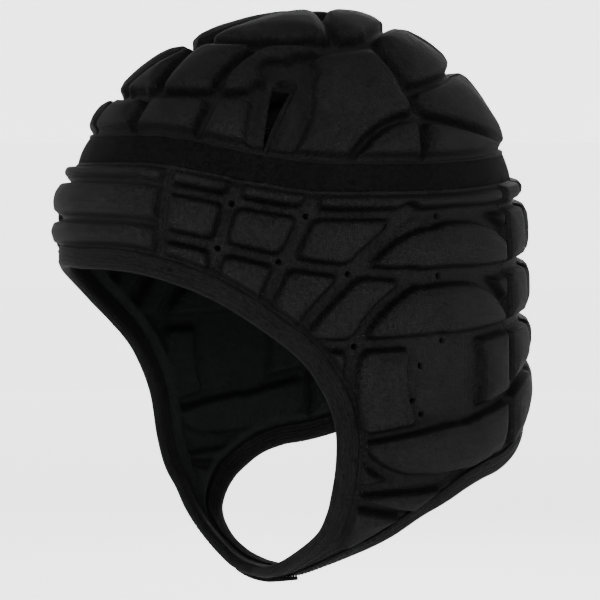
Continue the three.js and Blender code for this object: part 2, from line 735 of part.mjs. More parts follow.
// A line that has one of its places on a seam
function stationedAt(line, angle) {
  const { index, place } = placeAt(line, angle);
  const clear = (other) => Math.abs(other.angle - angle) > stationSpare;
  return [...line.slice(0, index).filter(clear), place, ...line.slice(index).filter(clear)];
}

const faceLine = stationedAt(edgePlaces(faceEdge), browSeamAngle);
const neckLine = stationedAt(edgePlaces(neckEdge), napeSeamAngle);

// The thin round patch over the ear, where the panel has no padding outside
const earPatch = { angle: 94.6, level: 0.338, halfTurn: 12.6, halfDrop: 0.085, corners: 14 };
const earPatchCorners = Array.from({ length: earPatch.corners }, (_, i) => {
  const turn = (i + 0.5) * 2 * Math.PI / earPatch.corners;
  return {
    angle: earPatch.angle + earPatch.halfTurn * Math.cos(turn),
    level: wrapLevel(earPatch.level + earPatch.halfDrop * Math.sin(turn)),
  };
});

// The end of the strap, which has no padding
const strapEnd = [
  { angle: 40, level: wrapLevel(strapFlatFrom) }, { angle: 115, level: wrapLevel(strapFlatFrom) },
  { angle: 115, level: wrapLevel(1.05) }, { angle: 40, level: wrapLevel(1.05) },
];

// The hem flange along part of an edge, cut from both faces of a panel
function cutHem(solid, line, side) {
  const [left, right] = side === 'right' ? [hemBeyond, hemFlange] : [hemFlange, hemBeyond];
  return cutBothSides(solid, line, wrapLayout, left, right);
}

// The thin flange beside a seam or a rim
function cutFlange(solid, places, layout) {
  return cutBothSides(solid, places, layout, seamFlange, seamFlange);
}

function seamPlaces(angle, bottom) {
  return Array.from({ length: seamStations }, (_, i) => firstSeamShare + i * seamShareStep)
    .map((share) => ({ angle, level: wrapLevel(share) }))
    .filter(({ level }) => level < bottom + stationLength);
}

function crownGeometry() {
  const rim = crownSkirt - halfGap;
  const outline = rimAngles(-180, 180).slice(1).map((angle) => ({ angle, level: rim }));
  let solid = slab(outline, crownLayout, -padInward, padOutward);
  const channels = [...crownChannels, ...mirroredChannels(crownChannels), ...crownCentreChannels];
  solid = cutChannels(solid, channels, crownLayout, crownLevel);
  solid = cutFlange(solid, rimAngles(-180, 180).map((angle) => ({ angle, level: crownSkirt })), crownLayout);
  for (const sign of [1, -1]) {
    const corners = slit.map(({ angle, level }) => ({ angle: sign * angle, level: crownLevel(level) }));
    const hole = slab(corners, crownLayout, -padInward - 1, padOutward + 1);
    solid = solid.subtract(hole);
    const vents = crownVents.map(({ angle, level }) => ({ angle: sign * angle, level }));
    solid = punchVents(solid, vents, crownLayout, crownLevel);
  }
  return bend(solid, crownLayout);
}

function browGeometry() {
  const top = bandBottom + halfGap;
  const { index, place } = placeAt(faceLine, browSeamAngle);
  const turn = seamTurn(browSeamAngle, place.level);
  const hemLeft = faceLine.slice(0, index).concat([placeAt(faceLine, browSeamAngle - turn).place]);
  const hemRight = hemLeft.slice(1).map(({ angle, level }) => ({ angle: -angle, level }));
  const rim = ringPlaces(-browSeamAngle + turn, browSeamAngle - turn, top);
  const outline = [...rim, ...hemLeft.slice().reverse(), ...hemRight];
  let solid = slab(outline, wrapLayout, -padInward, padOutward);
  solid = cutChannels(solid, browChannels, wrapLayout, wrapLevel);
  const beyond = faceLine.slice(0, index + 3);
  const wholeHem = [...beyond.slice(1).reverse().map(({ angle, level }) => ({ angle: -angle, level })), ...beyond];
  solid = cutHem(solid, wholeHem, 'left');
  solid = cutFlange(solid, ringPlaces(-35, 35, bandBottom), wrapLayout);
  for (const sign of [1, -1]) {
    solid = cutFlange(solid, seamPlaces(sign * browSeamAngle, place.level), wrapLayout);
  }
  return bend(solid, wrapLayout);
}

function sideGeometry() {
  const top = bandBottom + halfGap;
  const face = placeAt(faceLine, browSeamAngle);
  const neck = placeAt(neckLine, napeSeamAngle);
  const browTurn = seamTurn(browSeamAngle, face.place.level);
  const napeTurn = seamTurn(napeSeamAngle, neck.place.level);
  const endLevel = chinLevel - halfGap;
  const stop = (place) => ({ ...place, level: Math.min(place.level, endLevel) });
  const faceStart = placeAt(faceLine, browSeamAngle + browTurn).place;
  const neckStart = placeAt(neckLine, napeSeamAngle - napeTurn).place;
  const faceSide = [faceStart, ...faceLine.slice(face.index + 1).map(stop)];
  const neckSide = [neckStart, ...neckLine.slice(neck.index + 1).map(stop)];
  const rim = ringPlaces(browSeamAngle + browTurn, napeSeamAngle - napeTurn, top);
  const outline = [...rim, ...neckSide, ...faceSide.slice().reverse()];
  let solid = slab(outline, wrapLayout, -padInward, padOutward);
  solid = cutChannels(solid, sideChannels, wrapLayout, wrapLevel);
  solid = solid.subtract(slab(earPatchCorners, wrapLayout, channelHalf, padOutward + 1));
  solid = cutHem(solid, faceLine.slice(face.index - 2), 'left');
  solid = cutHem(solid, neckLine.slice(neck.index - 2), 'right');
  solid = cutFlange(solid, ringPlaces(browSeamAngle - 5, napeSeamAngle + 5, bandBottom), wrapLayout);
  solid = cutFlange(solid, seamPlaces(browSeamAngle, face.place.level), wrapLayout);
  solid = cutFlange(solid, seamPlaces(napeSeamAngle, neck.place.level), wrapLayout);
  for (const [low, high] of [[channelHalf, padOutward + 1], [-padInward - 1, -channelHalf]]) {
    solid = solid.subtract(slab(strapEnd, wrapLayout, low, high));
  }
  solid = punchVents(solid, sideVents, wrapLayout, wrapLevel);
  return bend(solid, wrapLayout);
}

function napeGeometry() {
  const top = bandBottom + halfGap;
  const { index, place } = placeAt(neckLine, napeSeamAngle);
  const turn = seamTurn(napeSeamAngle, place.level);
  const hemLeft = [...neckLine.slice(0, index), placeAt(neckLine, napeSeamAngle + turn).place];
  const hemRight = hemLeft.slice(1).map(({ angle, level }) => ({ angle: 360 - angle, level }));
  const rim = ringPlaces(napeSeamAngle + turn, 360 - napeSeamAngle - turn, top);
  const outline = [...rim, ...hemRight.slice().reverse(), ...hemLeft];
  let solid = slab(outline, wrapLayout, -padInward, padOutward);
  const channels = [...napeChannels, ...rearMirroredChannels(napeChannels), ...napeCentreChannels];
  solid = cutChannels(solid, channels, wrapLayout, wrapLevel);
  const beyond = neckLine.slice(0, index + 3);
  const wholeHem = [...beyond.slice(1).reverse().map(({ angle, level }) => ({ angle: 360 - angle, level })), ...beyond];
  solid = cutHem(solid, wholeHem, 'right');
  solid = cutFlange(solid, ringPlaces(napeSeamAngle - 5, 365 - napeSeamAngle, bandBottom), wrapLayout);
  for (const angle of [napeSeamAngle, 360 - napeSeamAngle]) {
    solid = cutFlange(solid, seamPlaces(angle, place.level), wrapLayout);
  }
  return bend(solid, wrapLayout);
}

// The velvet band is a ring between the crown's rim and the wrap
function bandGeometry() {
  const levels = [crownSkirt + halfGap, bandBottom - halfGap];
  const rings = rimAngles(-180, 180).slice(1).map((angle) => {
    const wall = (side) => levels.map((level) => raised(
      wrapLayout, wrapLayout.flatten({ angle, level }), side * bandThickness / 2,
    ).toArray());
    return [...wall(1), ...wall(-1).reverse()];
  });
  return outward(ringsGeometry(rings, true));
}

// A geometry with its faces pointing out, whichever way its rings were built
function outward(geometry) {
  const position = geometry.attributes.position;
  const index = Array.from(geometry.index.array);
  let volume = 0;
  for (let i = 0; i < index.length; i += 3) {
    const [a, b, c] = [0, 1, 2].map((k) => new THREE.Vector3().fromBufferAttribute(position, index[i + k]));
    volume += a.dot(b.cross(c));
  }
  if (volume > 0) return geometry;
  for (let i = 0; i < index.length; i += 3) [index[i], index[i + 1]] = [index[i + 1], index[i]];
  geometry.setIndex(index);
  return geometry;
}

// A folded tape round an opening: a channel section that covers the hem's edge
function tapeRings(line, other, sign) {
  const across = acrossDirections(line, wrapLayout);
  return line.map((place, i) => {
    const here = surfacePoint(place.angle, place.level);
    const room = Math.min(...other.map((far) => surfacePoint(far.angle, far.level).distanceTo(here)));
    return tapeRing(place, across[i], sign, Math.min(tapeCover, tapeShareOfStrap * room));
  });
}

function tapeRing(place, across, sign, cover) {
  const inner = channelHalf + tapeClearance;
  const outer = inner + tapeWall;
  const section = [
    [cover, outer], [-tapeClearance - tapeWall, outer],
    [-tapeClearance - tapeWall, -outer], [cover, -outer],
    [cover, -inner], [-tapeClearance, -inner],
    [-tapeClearance, inner], [cover, inner],
  ];
  const spot = wrapLayout.flatten(place);
  return section.map(([offset, z]) => raised(wrapLayout, walk(wrapLayout, spot, across, sign * offset), z));
}

// The whole loop: the left half, and its mirror image on the right, which share the
// stations on the middle plane
function loopGeometry(rings) {
  const flatten = (ring) => ring.map((point) => new THREE.Vector3(0, point.y, point.z));
  const left = [flatten(rings[0]), ...rings.slice(1, -1), flatten(rings[rings.length - 1])];
  const half = ringsGeometry(left.map((ring) => ring.map((point) => point.toArray())), false);
  const size = left[0].length;
  const sides = Array.from(half.index.array).slice(0, 6 * size * (left.length - 1));
  half.setIndex(sides);
  const joined = mergeVertices(mergeGeometries([half, mirrorGeometry(half)]), 1e-4);
  return outward(joined);
}

// The hook-and-loop tab that holds the two straps together under the chin
function chinTabGeometry() {
  const halfSpan = chinTabLength / 2;
  const low = channelHalf + tapeClearance + tapeWall + chinTabClearance;
  const middleAngle = (faceEdge[faceEdge.length - 1].angle + neckEdge[neckEdge.length - 1].angle) / 2;
  const steps = 5;
  const half = [];
  for (let i = 0; i <= steps; i += 1) {
    const level = chinLevel - halfSpan * (1 - i / steps);
    const place = { angle: middleAngle, level };
    const [across] = acrossDirections([place, { angle: middleAngle, level: level + 1 }], wrapLayout);
    const spot = wrapLayout.flatten(place);
    const corner = (offset, z) => raised(wrapLayout, walk(wrapLayout, spot, across, offset), z);
    const top = low + chinTabThickness;
    half.push([
      corner(-chinTabWidth / 2, low), corner(chinTabWidth / 2, low),
      corner(chinTabWidth / 2, top), corner(-chinTabWidth / 2, top),
    ]);
  }
  const centre = half[steps].map((point) => new THREE.Vector3(0, point.y, point.z));
  const left = [...half.slice(0, steps), centre];
  const right = half.slice(0, steps).reverse().map((ring) => ring.map((point) => new THREE.Vector3(-point.x, point.y, point.z)));
  const rings = [...left, ...right].map((ring) => ring.map((point) => point.toArray()));
  return outward(ringsGeometry(rings, false));
}

// Materials

const paddedFabric = { color: 0x1b1c1f, roughness: 0.82, metalness: 0 };
const velvet = { color: 0x0d0d0f, roughness: 0.95, metalness: 0 };
const tapeFabric = { color: 0x222327, roughness: 0.78, metalness: 0 };

const cap = new THREE.Group();

function addPiece(name, geometry, finish) {
  const mesh = new THREE.Mesh(geometry, new THREE.MeshStandardMaterial(finish));
  mesh.name = name;
  cap.add(mesh);
}

const sidePanel = sideGeometry();
addPiece('crown_panel', crownGeometry(), paddedFabric);
addPiece('crown_band', bandGeometry(), velvet);
addPiece('brow_panel', browGeometry(), paddedFabric);
addPiece('side_panel_left', sidePanel, paddedFabric);
addPiece('side_panel_right', mirrorGeometry(sidePanel), paddedFabric);
addPiece('nape_panel', napeGeometry(), paddedFabric);
addPiece('face_binding', loopGeometry(tapeRings(faceLine, neckLine, -1)), tapeFabric);
addPiece('neck_binding', loopGeometry(tapeRings(neckLine, faceLine, 1)), tapeFabric);
addPiece('chin_tab', chinTabGeometry(), velvet);

export default cap;
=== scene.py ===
"""Looks of a padded rugby scrum cap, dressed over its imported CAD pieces.

The pads, tapes and band are fine meshes built round the same head form as the part's source.
Lengths are in millimetres until a mesh is written, which is in metres.
"""

import logging
import math
from dataclasses import dataclass, field
from enum import Enum
from typing import Callable, NamedTuple, Sequence

import bpy
import numpy as np
from mathutils import Matrix, Vector, noise
from mathutils.geometry import delaunay_2d_cdt


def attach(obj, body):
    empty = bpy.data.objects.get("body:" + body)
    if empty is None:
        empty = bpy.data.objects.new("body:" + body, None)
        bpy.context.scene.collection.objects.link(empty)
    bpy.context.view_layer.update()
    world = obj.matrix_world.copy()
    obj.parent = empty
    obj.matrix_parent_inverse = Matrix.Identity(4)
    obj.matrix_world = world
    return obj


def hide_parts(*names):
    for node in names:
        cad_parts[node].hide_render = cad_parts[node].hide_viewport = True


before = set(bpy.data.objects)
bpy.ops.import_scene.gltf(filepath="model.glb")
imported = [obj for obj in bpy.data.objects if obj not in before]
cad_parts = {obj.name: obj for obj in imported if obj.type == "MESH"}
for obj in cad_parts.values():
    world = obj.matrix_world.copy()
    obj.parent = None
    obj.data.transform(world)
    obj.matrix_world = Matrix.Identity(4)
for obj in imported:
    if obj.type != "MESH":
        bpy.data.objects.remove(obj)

LOG = logging.getLogger("scrum_cap")
METRES = 0.001
HALF_STEP = 0.5
CHIN_SPARE = 0.6
FAR_AWAY = 60.0


class CrownSection(NamedTuple):
    """One section of the crown, by the angle of an ellipse.

    Args:
        rise: angle from the top, in degrees.
        spread: share of the widest section.
        centre: middle of the section, as a share of the forehead's reach.
    """

    rise: float
    spread: float
    centre: float


class JawSection(NamedTuple):
    """One section below the widest level, every length a share of a named size.

    Args:
        drop: share of the jaw's drop.
        width: share of the half width.
        front: share of the forehead's reach.
        rear: share of the nape's reach.
        centre: middle of the section, as a share of the forehead's reach.
    """

    drop: float
    width: float
    front: float
    rear: float
    centre: float


class Place(NamedTuple):
    """A place on the cap, as an angle in degrees and a share of the way down its part."""

    angle: float
    share: float


CROWN_SECTIONS = (
    CrownSection(0, 0, 0.042),
    CrownSection(15, 0.245, 0.038),
    CrownSection(30, 0.487, 0.025),
    CrownSection(45, 0.7, 0.008),
    CrownSection(60, 0.865, 0),
    CrownSection(75, 0.966, 0),
    CrownSection(90, 1, 0),
)
JAW_SECTIONS = (
    JawSection(0.142, 1.006, 0.975, 1, 0),
    JawSection(0.244, 1.011, 0.882, 1.01, 0),
    JawSection(0.346, 1.011, 0.765, 1.02, 0),
    JawSection(0.481, 1.011, 0.655, 1.02, 0),
    JawSection(0.617, 1, 0.588, 1.01, 0),
    JawSection(0.719, 0.948, 0.521, 0.926, -0.008),
    JawSection(0.78, 0.874, 0.429, 0.737, -0.034),
    JawSection(0.841, 0.782, 0.336, 0.568, -0.076),
    JawSection(0.895, 0.632, 0.26, 0.432, -0.118),
    JawSection(0.952, 0.402, 0.21, 0.337, -0.151),
    JawSection(0.99, 0.184, 0.2, 0.305, -0.168),
    JawSection(1, 0, 0.2, 0.295, -0.172),
)

FACE_EDGE = (
    Place(0, 0.184), Place(10, 0.183), Place(20, 0.187), Place(30, 0.195), Place(38, 0.206),
    Place(45, 0.226), Place(52, 0.268), Place(55.5, 0.3), Place(58, 0.345), Place(59.5, 0.395),
    Place(59.5, 0.45), Place(58, 0.517), Place(56, 0.59), Place(54, 0.675), Place(52.5, 0.76),
    Place(52.5, 0.83), Place(55, 0.9), Place(59, 0.96), Place(62, 1),
)
NECK_EDGE = (
    Place(180, 0.462), Place(160, 0.468), Place(143, 0.487), Place(131, 0.522),
    Place(121, 0.542), Place(112, 0.552), Place(104, 0.577), Place(96.5, 0.632),
    Place(91.5, 0.7), Place(86.5, 0.77), Place(83.5, 0.84), Place(86, 0.9), Place(91, 0.95),
    Place(93, 1),
)

BROW_SEAM = 29.0
NAPE_SEAM = 121.0
HEM_BEYOND = 8.0
SEAM_BEYOND = 5.0
BROW_RIM_BEYOND = 7.0
STRAP_FLAT_FROM = 0.87


class Layout(Enum):
    """Flat layouts of the panels: the crown's disc and the wrap's strip."""

    DISC = "seen from above"
    STRIP = "seen from outside"


def smooth_step(value: np.ndarray, low: float, high: float) -> np.ndarray:
    """Smooth rise from 0 to 1.

    Args:
        value: numbers to place on the rise.
        low: where the rise starts.
        high: where it ends.

    Returns:
        The rise at each number.
    """
    share = np.clip((value - low) / (high - low), 0, 1)
    return share * share * (3 - 2 * share)


def smooth_min(first: np.ndarray, second: np.ndarray, blend: float) -> np.ndarray:
    """The lesser of two distances, rounded where they are alike.

    Args:
        first: distances to one thing.
        second: distances to another.
        blend: how alike they are where the rounding starts.

    Returns:
        The rounded minimum.
    """
    share = np.clip(0.5 + 0.5 * (second - first) / blend, 0, 1)
    return second * (1 - share) + first * share - blend * share * (1 - share)


def unit(vectors: np.ndarray) -> np.ndarray:
    """Vectors of length 1 in the same directions."""
    return vectors / np.maximum(np.linalg.norm(vectors, axis=-1, keepdims=True), 1e-9)


@dataclass
class HeadForm:
    """The middle surface of the cap's walls, addressed by an angle and a level.

    The angle is 0 at the front and 90 at the wearer's left, and the level is the distance
    down from the top of the crown.

    Args:
        temple_half_width: half of the widest section.
        forehead_reach: reach of that section to the front.
        nape_reach: its reach to the rear.
        crown_rise: height of the crown above it.
        jaw_drop: drop from it to the chin.
        crown_top: height of the middle surface over the origin.
        crown_skirt: level of the crown's lower edge.
        band_width: width of the velvet band.
        band_dip: how far the band's line dips over the ears.
        band_rear_lift: how far it rises again to the rear.
        dip_from: angle where the dip starts.
        dip_to: angle where it is whole.
        lift_from: angle where the rise starts.
        dip_grows: shares of the crown's skirt between which the dip grows.
        dip_fades: shares of the chin's level between which it fades.
        samples_per_row: samples of the curve from one section to the next.
    """

    temple_half_width: float = 87.0
    forehead_reach: float = 119.0
    nape_reach: float = 95.0
    crown_rise: float = 100.0
    jaw_drop: float = 147.5
    crown_top: float = 6.0
    crown_skirt: float = 97.5
    band_width: float = 12.5
    band_dip: float = 12.5
    band_rear_lift: float = 7.5
    dip_from: float = 18.0
    dip_to: float = 70.0
    lift_from: float = 80.0
    dip_grows: tuple[float, float] = (0.2, 0.97)
    dip_fades: tuple[float, float] = (0.54, 0.86)
    samples_per_row: int = 24
    samples: np.ndarray = field(init=False, repr=False)
    distances: np.ndarray = field(init=False, repr=False)

    def __post_init__(self) -> None:
        """Samples the smooth curve through the sections."""
        rows = self._rows()
        before = rows[1] * np.array([1, -1, -1, -1, 1])
        after = rows[-2] * np.array([1, -1, 1, 1, 1])
        extended = np.vstack([before, rows, after])
        steps = np.arange(self.samples_per_row) / self.samples_per_row
        parts = []
        for row in range(len(rows) - 1):
            a, b, c, d = (extended[row + k][None, :] for k in range(4))
            s = steps[:, None]
            square = 2 * a - 5 * b + 4 * c - d
            cubic = -a + 3 * b - 3 * c + d
            parts.append(0.5 * (2 * b + (c - a) * s + square * s**2 + cubic * s**3))
        self.samples = np.vstack([*parts, rows[-1:]])
        step = np.hypot(np.diff(self.samples[:, 1]), np.diff(self.samples[:, 0]))
        self.distances = np.concatenate([[0], np.cumsum(step)])

    def _rows(self) -> np.ndarray:
        """Rows of height, half width, front reach, rear reach and centre."""
        rows = [
            (
                self.crown_top - self.crown_rise * (1 - math.cos(math.radians(row.rise))),
                self.temple_half_width * row.spread,
                self.forehead_reach * row.spread,
                self.nape_reach * row.spread,
                self.forehead_reach * row.centre,
            )
            for row in CROWN_SECTIONS
        ]
        rows += [
            (
                self.crown_top - self.crown_rise - self.jaw_drop * row.drop,
                self.temple_half_width * row.width,
                self.forehead_reach * row.front,
                self.nape_reach * row.rear,
                self.forehead_reach * row.centre,
            )
            for row in JAW_SECTIONS
        ]
        return np.array(rows)

    @property
    def chin_level(self) -> float:
        """Level of the lowest point, under the chin."""
        return float(self.distances[-1])

    @property
    def band_bottom(self) -> float:
        """Level of the band's lower edge, where the wrap starts."""
        return self.crown_skirt + self.band_width

    @property
    def per_degree(self) -> float:
        """Width of one degree in the strip layout."""
        mean = self.temple_half_width + (self.forehead_reach + self.nape_reach) / 2
        return mean * math.pi / 360

    def crown_level(self, share: float) -> float:
        """Level of a share of the crown."""
        return self.crown_skirt * share

    def wrap_level(self, share: float) -> float:
        """Level of a share of the way from the band down to the chin."""
        return self.band_bottom + (self.chin_level - self.band_bottom) * share

    def point(self, angle: np.ndarray, level: np.ndarray) -> np.ndarray:
        """Points of the middle surface.

        Args:
            angle: angles in degrees.
            level: levels in millimetres.

        Returns:
            One point in a row for each place.
        """
        turn = np.abs((np.asarray(angle) + 540) % 360 - 180)
        dip = self.band_dip * smooth_step(turn, self.dip_from, self.dip_to)
        dip = dip - self.band_rear_lift * smooth_step(turn, self.lift_from, 180)
        grows = smooth_step(level, *(share * self.crown_skirt for share in self.dip_grows))
        fades = smooth_step(level, *(share * self.chin_level for share in self.dip_fades))
        distance = level + dip * grows * (1 - fades)
        columns = [np.interp(distance, self.distances, column) for column in self.samples.T]
        height, width, front, rear, centre = columns
        cosine = np.cos(np.radians(angle))
        reach = np.where(cosine > 0, front, rear)
        side = width * np.sin(np.radians(angle))
        return np.stack([side, centre - reach * cosine, height], axis=-1)

    def flatten(self, layout: Layout, places: np.ndarray) -> np.ndarray:
        """Flat spots of places given as angle and level."""
        angle, level = places[:, 0], places[:, 1]
        if layout is Layout.STRIP:
            return np.stack([angle * self.per_degree, -level], axis=-1)
        turn = np.radians(angle)
        return np.stack([level * np.sin(turn), -level * np.cos(turn)], axis=-1)

    def spot(self, layout: Layout, flat: np.ndarray) -> np.ndarray:
        """Points of the middle surface at flat spots."""
        if layout is Layout.STRIP:
            return self.point(flat[:, 0] / self.per_degree, -flat[:, 1])
        angle = np.degrees(np.arctan2(flat[:, 0], -flat[:, 1]))
        return self.point(angle, np.hypot(flat[:, 0], flat[:, 1]))

    def on_surface(self, layout: Layout, places: np.ndarray) -> np.ndarray:
        """Points of the middle surface at places given as angle and level."""
        return self.spot(layout, self.flatten(layout, places))

    def steps(self, layout: Layout, flat: np.ndarray) -> tuple[np.ndarray, np.ndarray, np.ndarray]:
        """Steps of the surface along the layout's two directions, and its normals."""
        steady = flat.copy()
        if layout is Layout.STRIP:
            steady[:, 1] = np.maximum(steady[:, 1], CHIN_SPARE - self.chin_level)
        aside, along = np.array([HALF_STEP, 0]), np.array([0, HALF_STEP])
        step_x = self.spot(layout, steady + aside) - self.spot(layout, steady - aside)
        step_y = self.spot(layout, steady + along) - self.spot(layout, steady - along)
        return step_x, step_y, unit(np.cross(step_x, step_y))

    def walk(
        self, layout: Layout, flat: np.ndarray, heading: np.ndarray, distance: np.ndarray
    ) -> np.ndarray:
        """Flat spots reached by walking on the surface.

        Args:
            layout: the layout of the spots.
            flat: spots where the walks start.
            heading: a direction of space for each walk.
            distance: how far each walk goes.

        Returns:
            Flat spots where the walks end.
        """
        walked = flat.copy()
        part = np.broadcast_to(np.asarray(distance, float), (len(flat),)) / 3
        for _ in range(3):
            step_x, step_y, _ = self.steps(layout, walked)
            a = (step_x * step_x).sum(axis=1)
            b = (step_x * step_y).sum(axis=1)
            c = (step_y * step_y).sum(axis=1)
            to_x = (heading * step_x).sum(axis=1) * part
            to_y = (heading * step_y).sum(axis=1) * part
            scale = a * c - b * b
            step = np.stack([(c * to_x - b * to_y) / scale, (a * to_y - b * to_x) / scale], axis=-1)
            walked = walked + step
        return walked

    def raised(self, layout: Layout, flat: np.ndarray, height: np.ndarray) -> np.ndarray:
        """Points at heights above the middle surface over flat spots."""
        normal = self.steps(layout, flat)[2]
        return self.spot(layout, flat) + normal * np.asarray(height)[..., None]

    def across(self, layout: Layout, flat: np.ndarray) -> np.ndarray:
        """Directions to the right of a line of flat spots, seen from outside."""
        step_x, step_y, normal = self.steps(layout, flat)
        ahead = np.gradient(flat, axis=0)
        tangent = unit(step_x * ahead[:, :1] + step_y * ahead[:, 1:])
        return unit(np.cross(tangent, normal))


@dataclass(frozen=True)
class Channel:
    """A sunk channel of the quilting, an arc through three places.

    Args:
        name: what it divides.
        width: width of its floor and slopes.
        start: first place.
        middle: a place half way.
        end: last place.
        depth: share of the pads' height that it cuts away.
    """

    name: str
    width: float
    start: Place
    middle: Place
    end: Place
    depth: float = 1.0

    def mirrored(self, about: float = 0.0) -> "Channel":
        """The same channel on the other side of an angle."""
        ends = (Place(2 * about - place.angle, place.share) for place in (self.start, self.middle, self.end))
        return Channel(self.name, self.width, *ends, self.depth)

    def places(self, level_of: Callable[[float], float], count: int = 49) -> np.ndarray:
        """Places along the channel, as rows of angle and level."""
        ends = (self.start, self.middle, self.end)
        p, m, q = (np.array([place.angle, level_of(place.share)]) for place in ends)
        control = 2 * m - (p + q) / 2
        s = np.linspace(0, 1, count)[:, None]
        return p * (1 - s) ** 2 + control * 2 * s * (1 - s) + q * s**2


def channel(
    name: str, width: float, start: tuple, middle: tuple, end: tuple, depth: float = 1.0
) -> Channel:
    """A channel written as plain pairs of angle and share."""
    return Channel(name, width, Place(*start), Place(*middle), Place(*end), depth)


CROWN_CHANNELS = (
    channel("lower ring", 4.5, (-3, 0.81), (28, 0.81), (49, 0.74)),
    channel("upper ring", 4, (-4, 0.485), (33, 0.49), (60, 0.46)),
    channel("upper ring rear", 7, (60, 0.465), (74, 0.47), (86, 0.44)),
    channel("front column", 4, (12, 0.81), (9.5, 0.7), (3.5, 0.49)),
    channel("second column", 4, (35, 0.8), (34.5, 0.63), (41.5, 0.48)),
    channel("low front column", 4, (12, 1.02), (11.5, 0.9), (11, 0.81)),
    channel("low second column", 4, (34, 1.02), (34.5, 0.9), (35, 0.81)),
    channel("column before the slit", 4, (48.5, 1.02), (47.5, 0.85), (46.5, 0.72)),
    channel("slit front lip", 6, (50, 0.65), (50.6, 0.82), (51, 1.02)),
    channel("slit rear lip", 6, (58, 0.65), (54.8, 0.82), (51.5, 1.02)),
    channel("flat behind the slit", 6.5, (59.5, 0.6), (58.5, 0.82), (55, 1.02)),
    channel("flat over the slit", 11, (49, 0.62), (54, 0.615), (60, 0.61)),
    channel("side block front", 4, (56.5, 0.56), (62, 0.75), (56, 1.02)),
    channel("side block top", 4, (57, 0.57), (68, 0.51), (85, 0.46)),
    channel("side block rear", 4, (85, 0.44), (90.5, 0.62), (92, 0.81)),
    channel("arc front", 3.5, (71, 1.02), (80, 0.86), (92, 0.81)),
    channel("arc rear", 3.5, (92, 0.81), (116, 0.88), (152, 1.02)),
    channel("arc divider", 3, (93, 0.81), (91.5, 0.9), (90, 1.02)),
    channel("rear band", 4, (91.5, 0.7), (110, 0.655), (138, 0.6)),
    channel("rear band back", 4, (138, 0.6), (159, 0.6), (183, 0.61)),
    channel("rear column", 4, (131, 0.3), (138, 0.6), (147, 1.02)),
    channel("top rear edge", 5, (86, 0.44), (103, 0.34), (139, 0.29)),
    channel("top rear edge back", 5, (139, 0.29), (160, 0.3), (184, 0.31)),
    channel("top cross", 4, (55, 0.01), (66, 0.22), (70, 0.46)),
)
CROWN_CENTRE_CHANNELS = (
    channel("top front", 4, (0, -0.04), (0, 0.25), (0, 0.5)),
    channel("top back", 4, (180, -0.02), (180, 0.5), (180, 1.02)),
)
SLIT = (Place(50.6, 0.68), Place(57, 0.68), Place(51.6, 0.985))
SIDE_CHANNELS = (
    channel("first row", 4.5, (28, 0.041), (75, 0.041), (122, 0.041)),
    channel("second row front", 5, (28, 0.121), (56, 0.129), (84, 0.148)),
    channel("second row rear", 6, (84, 0.15), (103, 0.152), (122, 0.155)),
    channel("first upright", 6, (47, -0.01), (44, 0.08), (40.5, 0.2)),
    channel("second upright", 6.5, (64, -0.01), (59.5, 0.09), (50, 0.235)),
    channel("third upright", 6, (85, 0.035), (71.8, 0.14), (56, 0.262)),
    channel("lens top front", 5, (72, 0.137), (79, 0.087), (90, 0.053)),
    channel("lens top rear", 5, (90, 0.053), (107, 0.054), (122, 0.103)),
    channel("moon front", 5, (86, 0.155), (76, 0.212), (69.5, 0.27)),
    channel("moon top", 5, (88, 0.158), (107, 0.166), (122, 0.25)),
    channel("ear line front", 5, (56, 0.27), (75, 0.267), (92, 0.266)),
    channel("ear line rear", 4.5, (92, 0.266), (106, 0.263), (122, 0.258)),
    channel("cheek upright", 6, (69.5, 0.272), (65, 0.35), (64.5, 0.44)),
    channel("jaw line front", 3.6, (62, 0.447), (84, 0.426), (100, 0.411)),
    channel("jaw line rear", 4, (100, 0.411), (112, 0.399), (122, 0.384)),
    channel("crescent front", 5, (65, 0.452), (71, 0.507), (86, 0.537)),
    channel("crescent bottom", 5, (86, 0.537), (100, 0.536), (113, 0.515)),
    channel("crescent rear", 4, (113, 0.515), (119, 0.485), (121, 0.42)),
    channel("leaf top", 5, (58, 0.553), (78, 0.546), (100, 0.536)),
    channel("leaf bottom", 4, (58, 0.573), (75, 0.6), (97, 0.622)),
)
BROW_CHANNELS = (
    channel("top roll", 3, (-30, 0.038), (0, 0.033), (30, 0.038), 0.9),
    channel("lower roll", 3, (-30, 0.105), (0, 0.101), (30, 0.105), 0.9),
)
NAPE_CHANNELS = (
    channel("first row", 3, (120, 0.043), (150, 0.04), (182, 0.039)),
    channel("second row", 5, (120, 0.154), (150, 0.147), (182, 0.146)),
    channel("third row", 5, (120, 0.26), (150, 0.255), (182, 0.254)),
    channel("diagonal", 5, (120, 0.386), (143, 0.346), (182, 0.33)),
    channel("upright", 4, (138, -0.01), (139, 0.17), (141, 0.35)),
)
NAPE_CENTRE_CHANNELS = (channel("centre", 4, (180, -0.01), (180, 0.2), (180, 0.48)),)

SIDE_VENTS = (
    Place(45.3, 0.044), Place(62, 0.046), Place(42.4, 0.126), Place(56, 0.131), Place(71, 0.144),
    Place(79, 0.062), Place(93, 0.046), Place(93, 0.152), Place(69.5, 0.272), Place(94, 0.268),
    Place(87, 0.31), Place(84, 0.372), Place(87, 0.4),
)
CROWN_VENTS = (Place(125, 0.45),)

EAR_PATCH = Place(94.6, 0.338)
EAR_PATCH_HALF_TURN = 12.6
EAR_PATCH_HALF_DROP = 0.12
EAR_PATCH_SHARES = (0.266, 0.412)


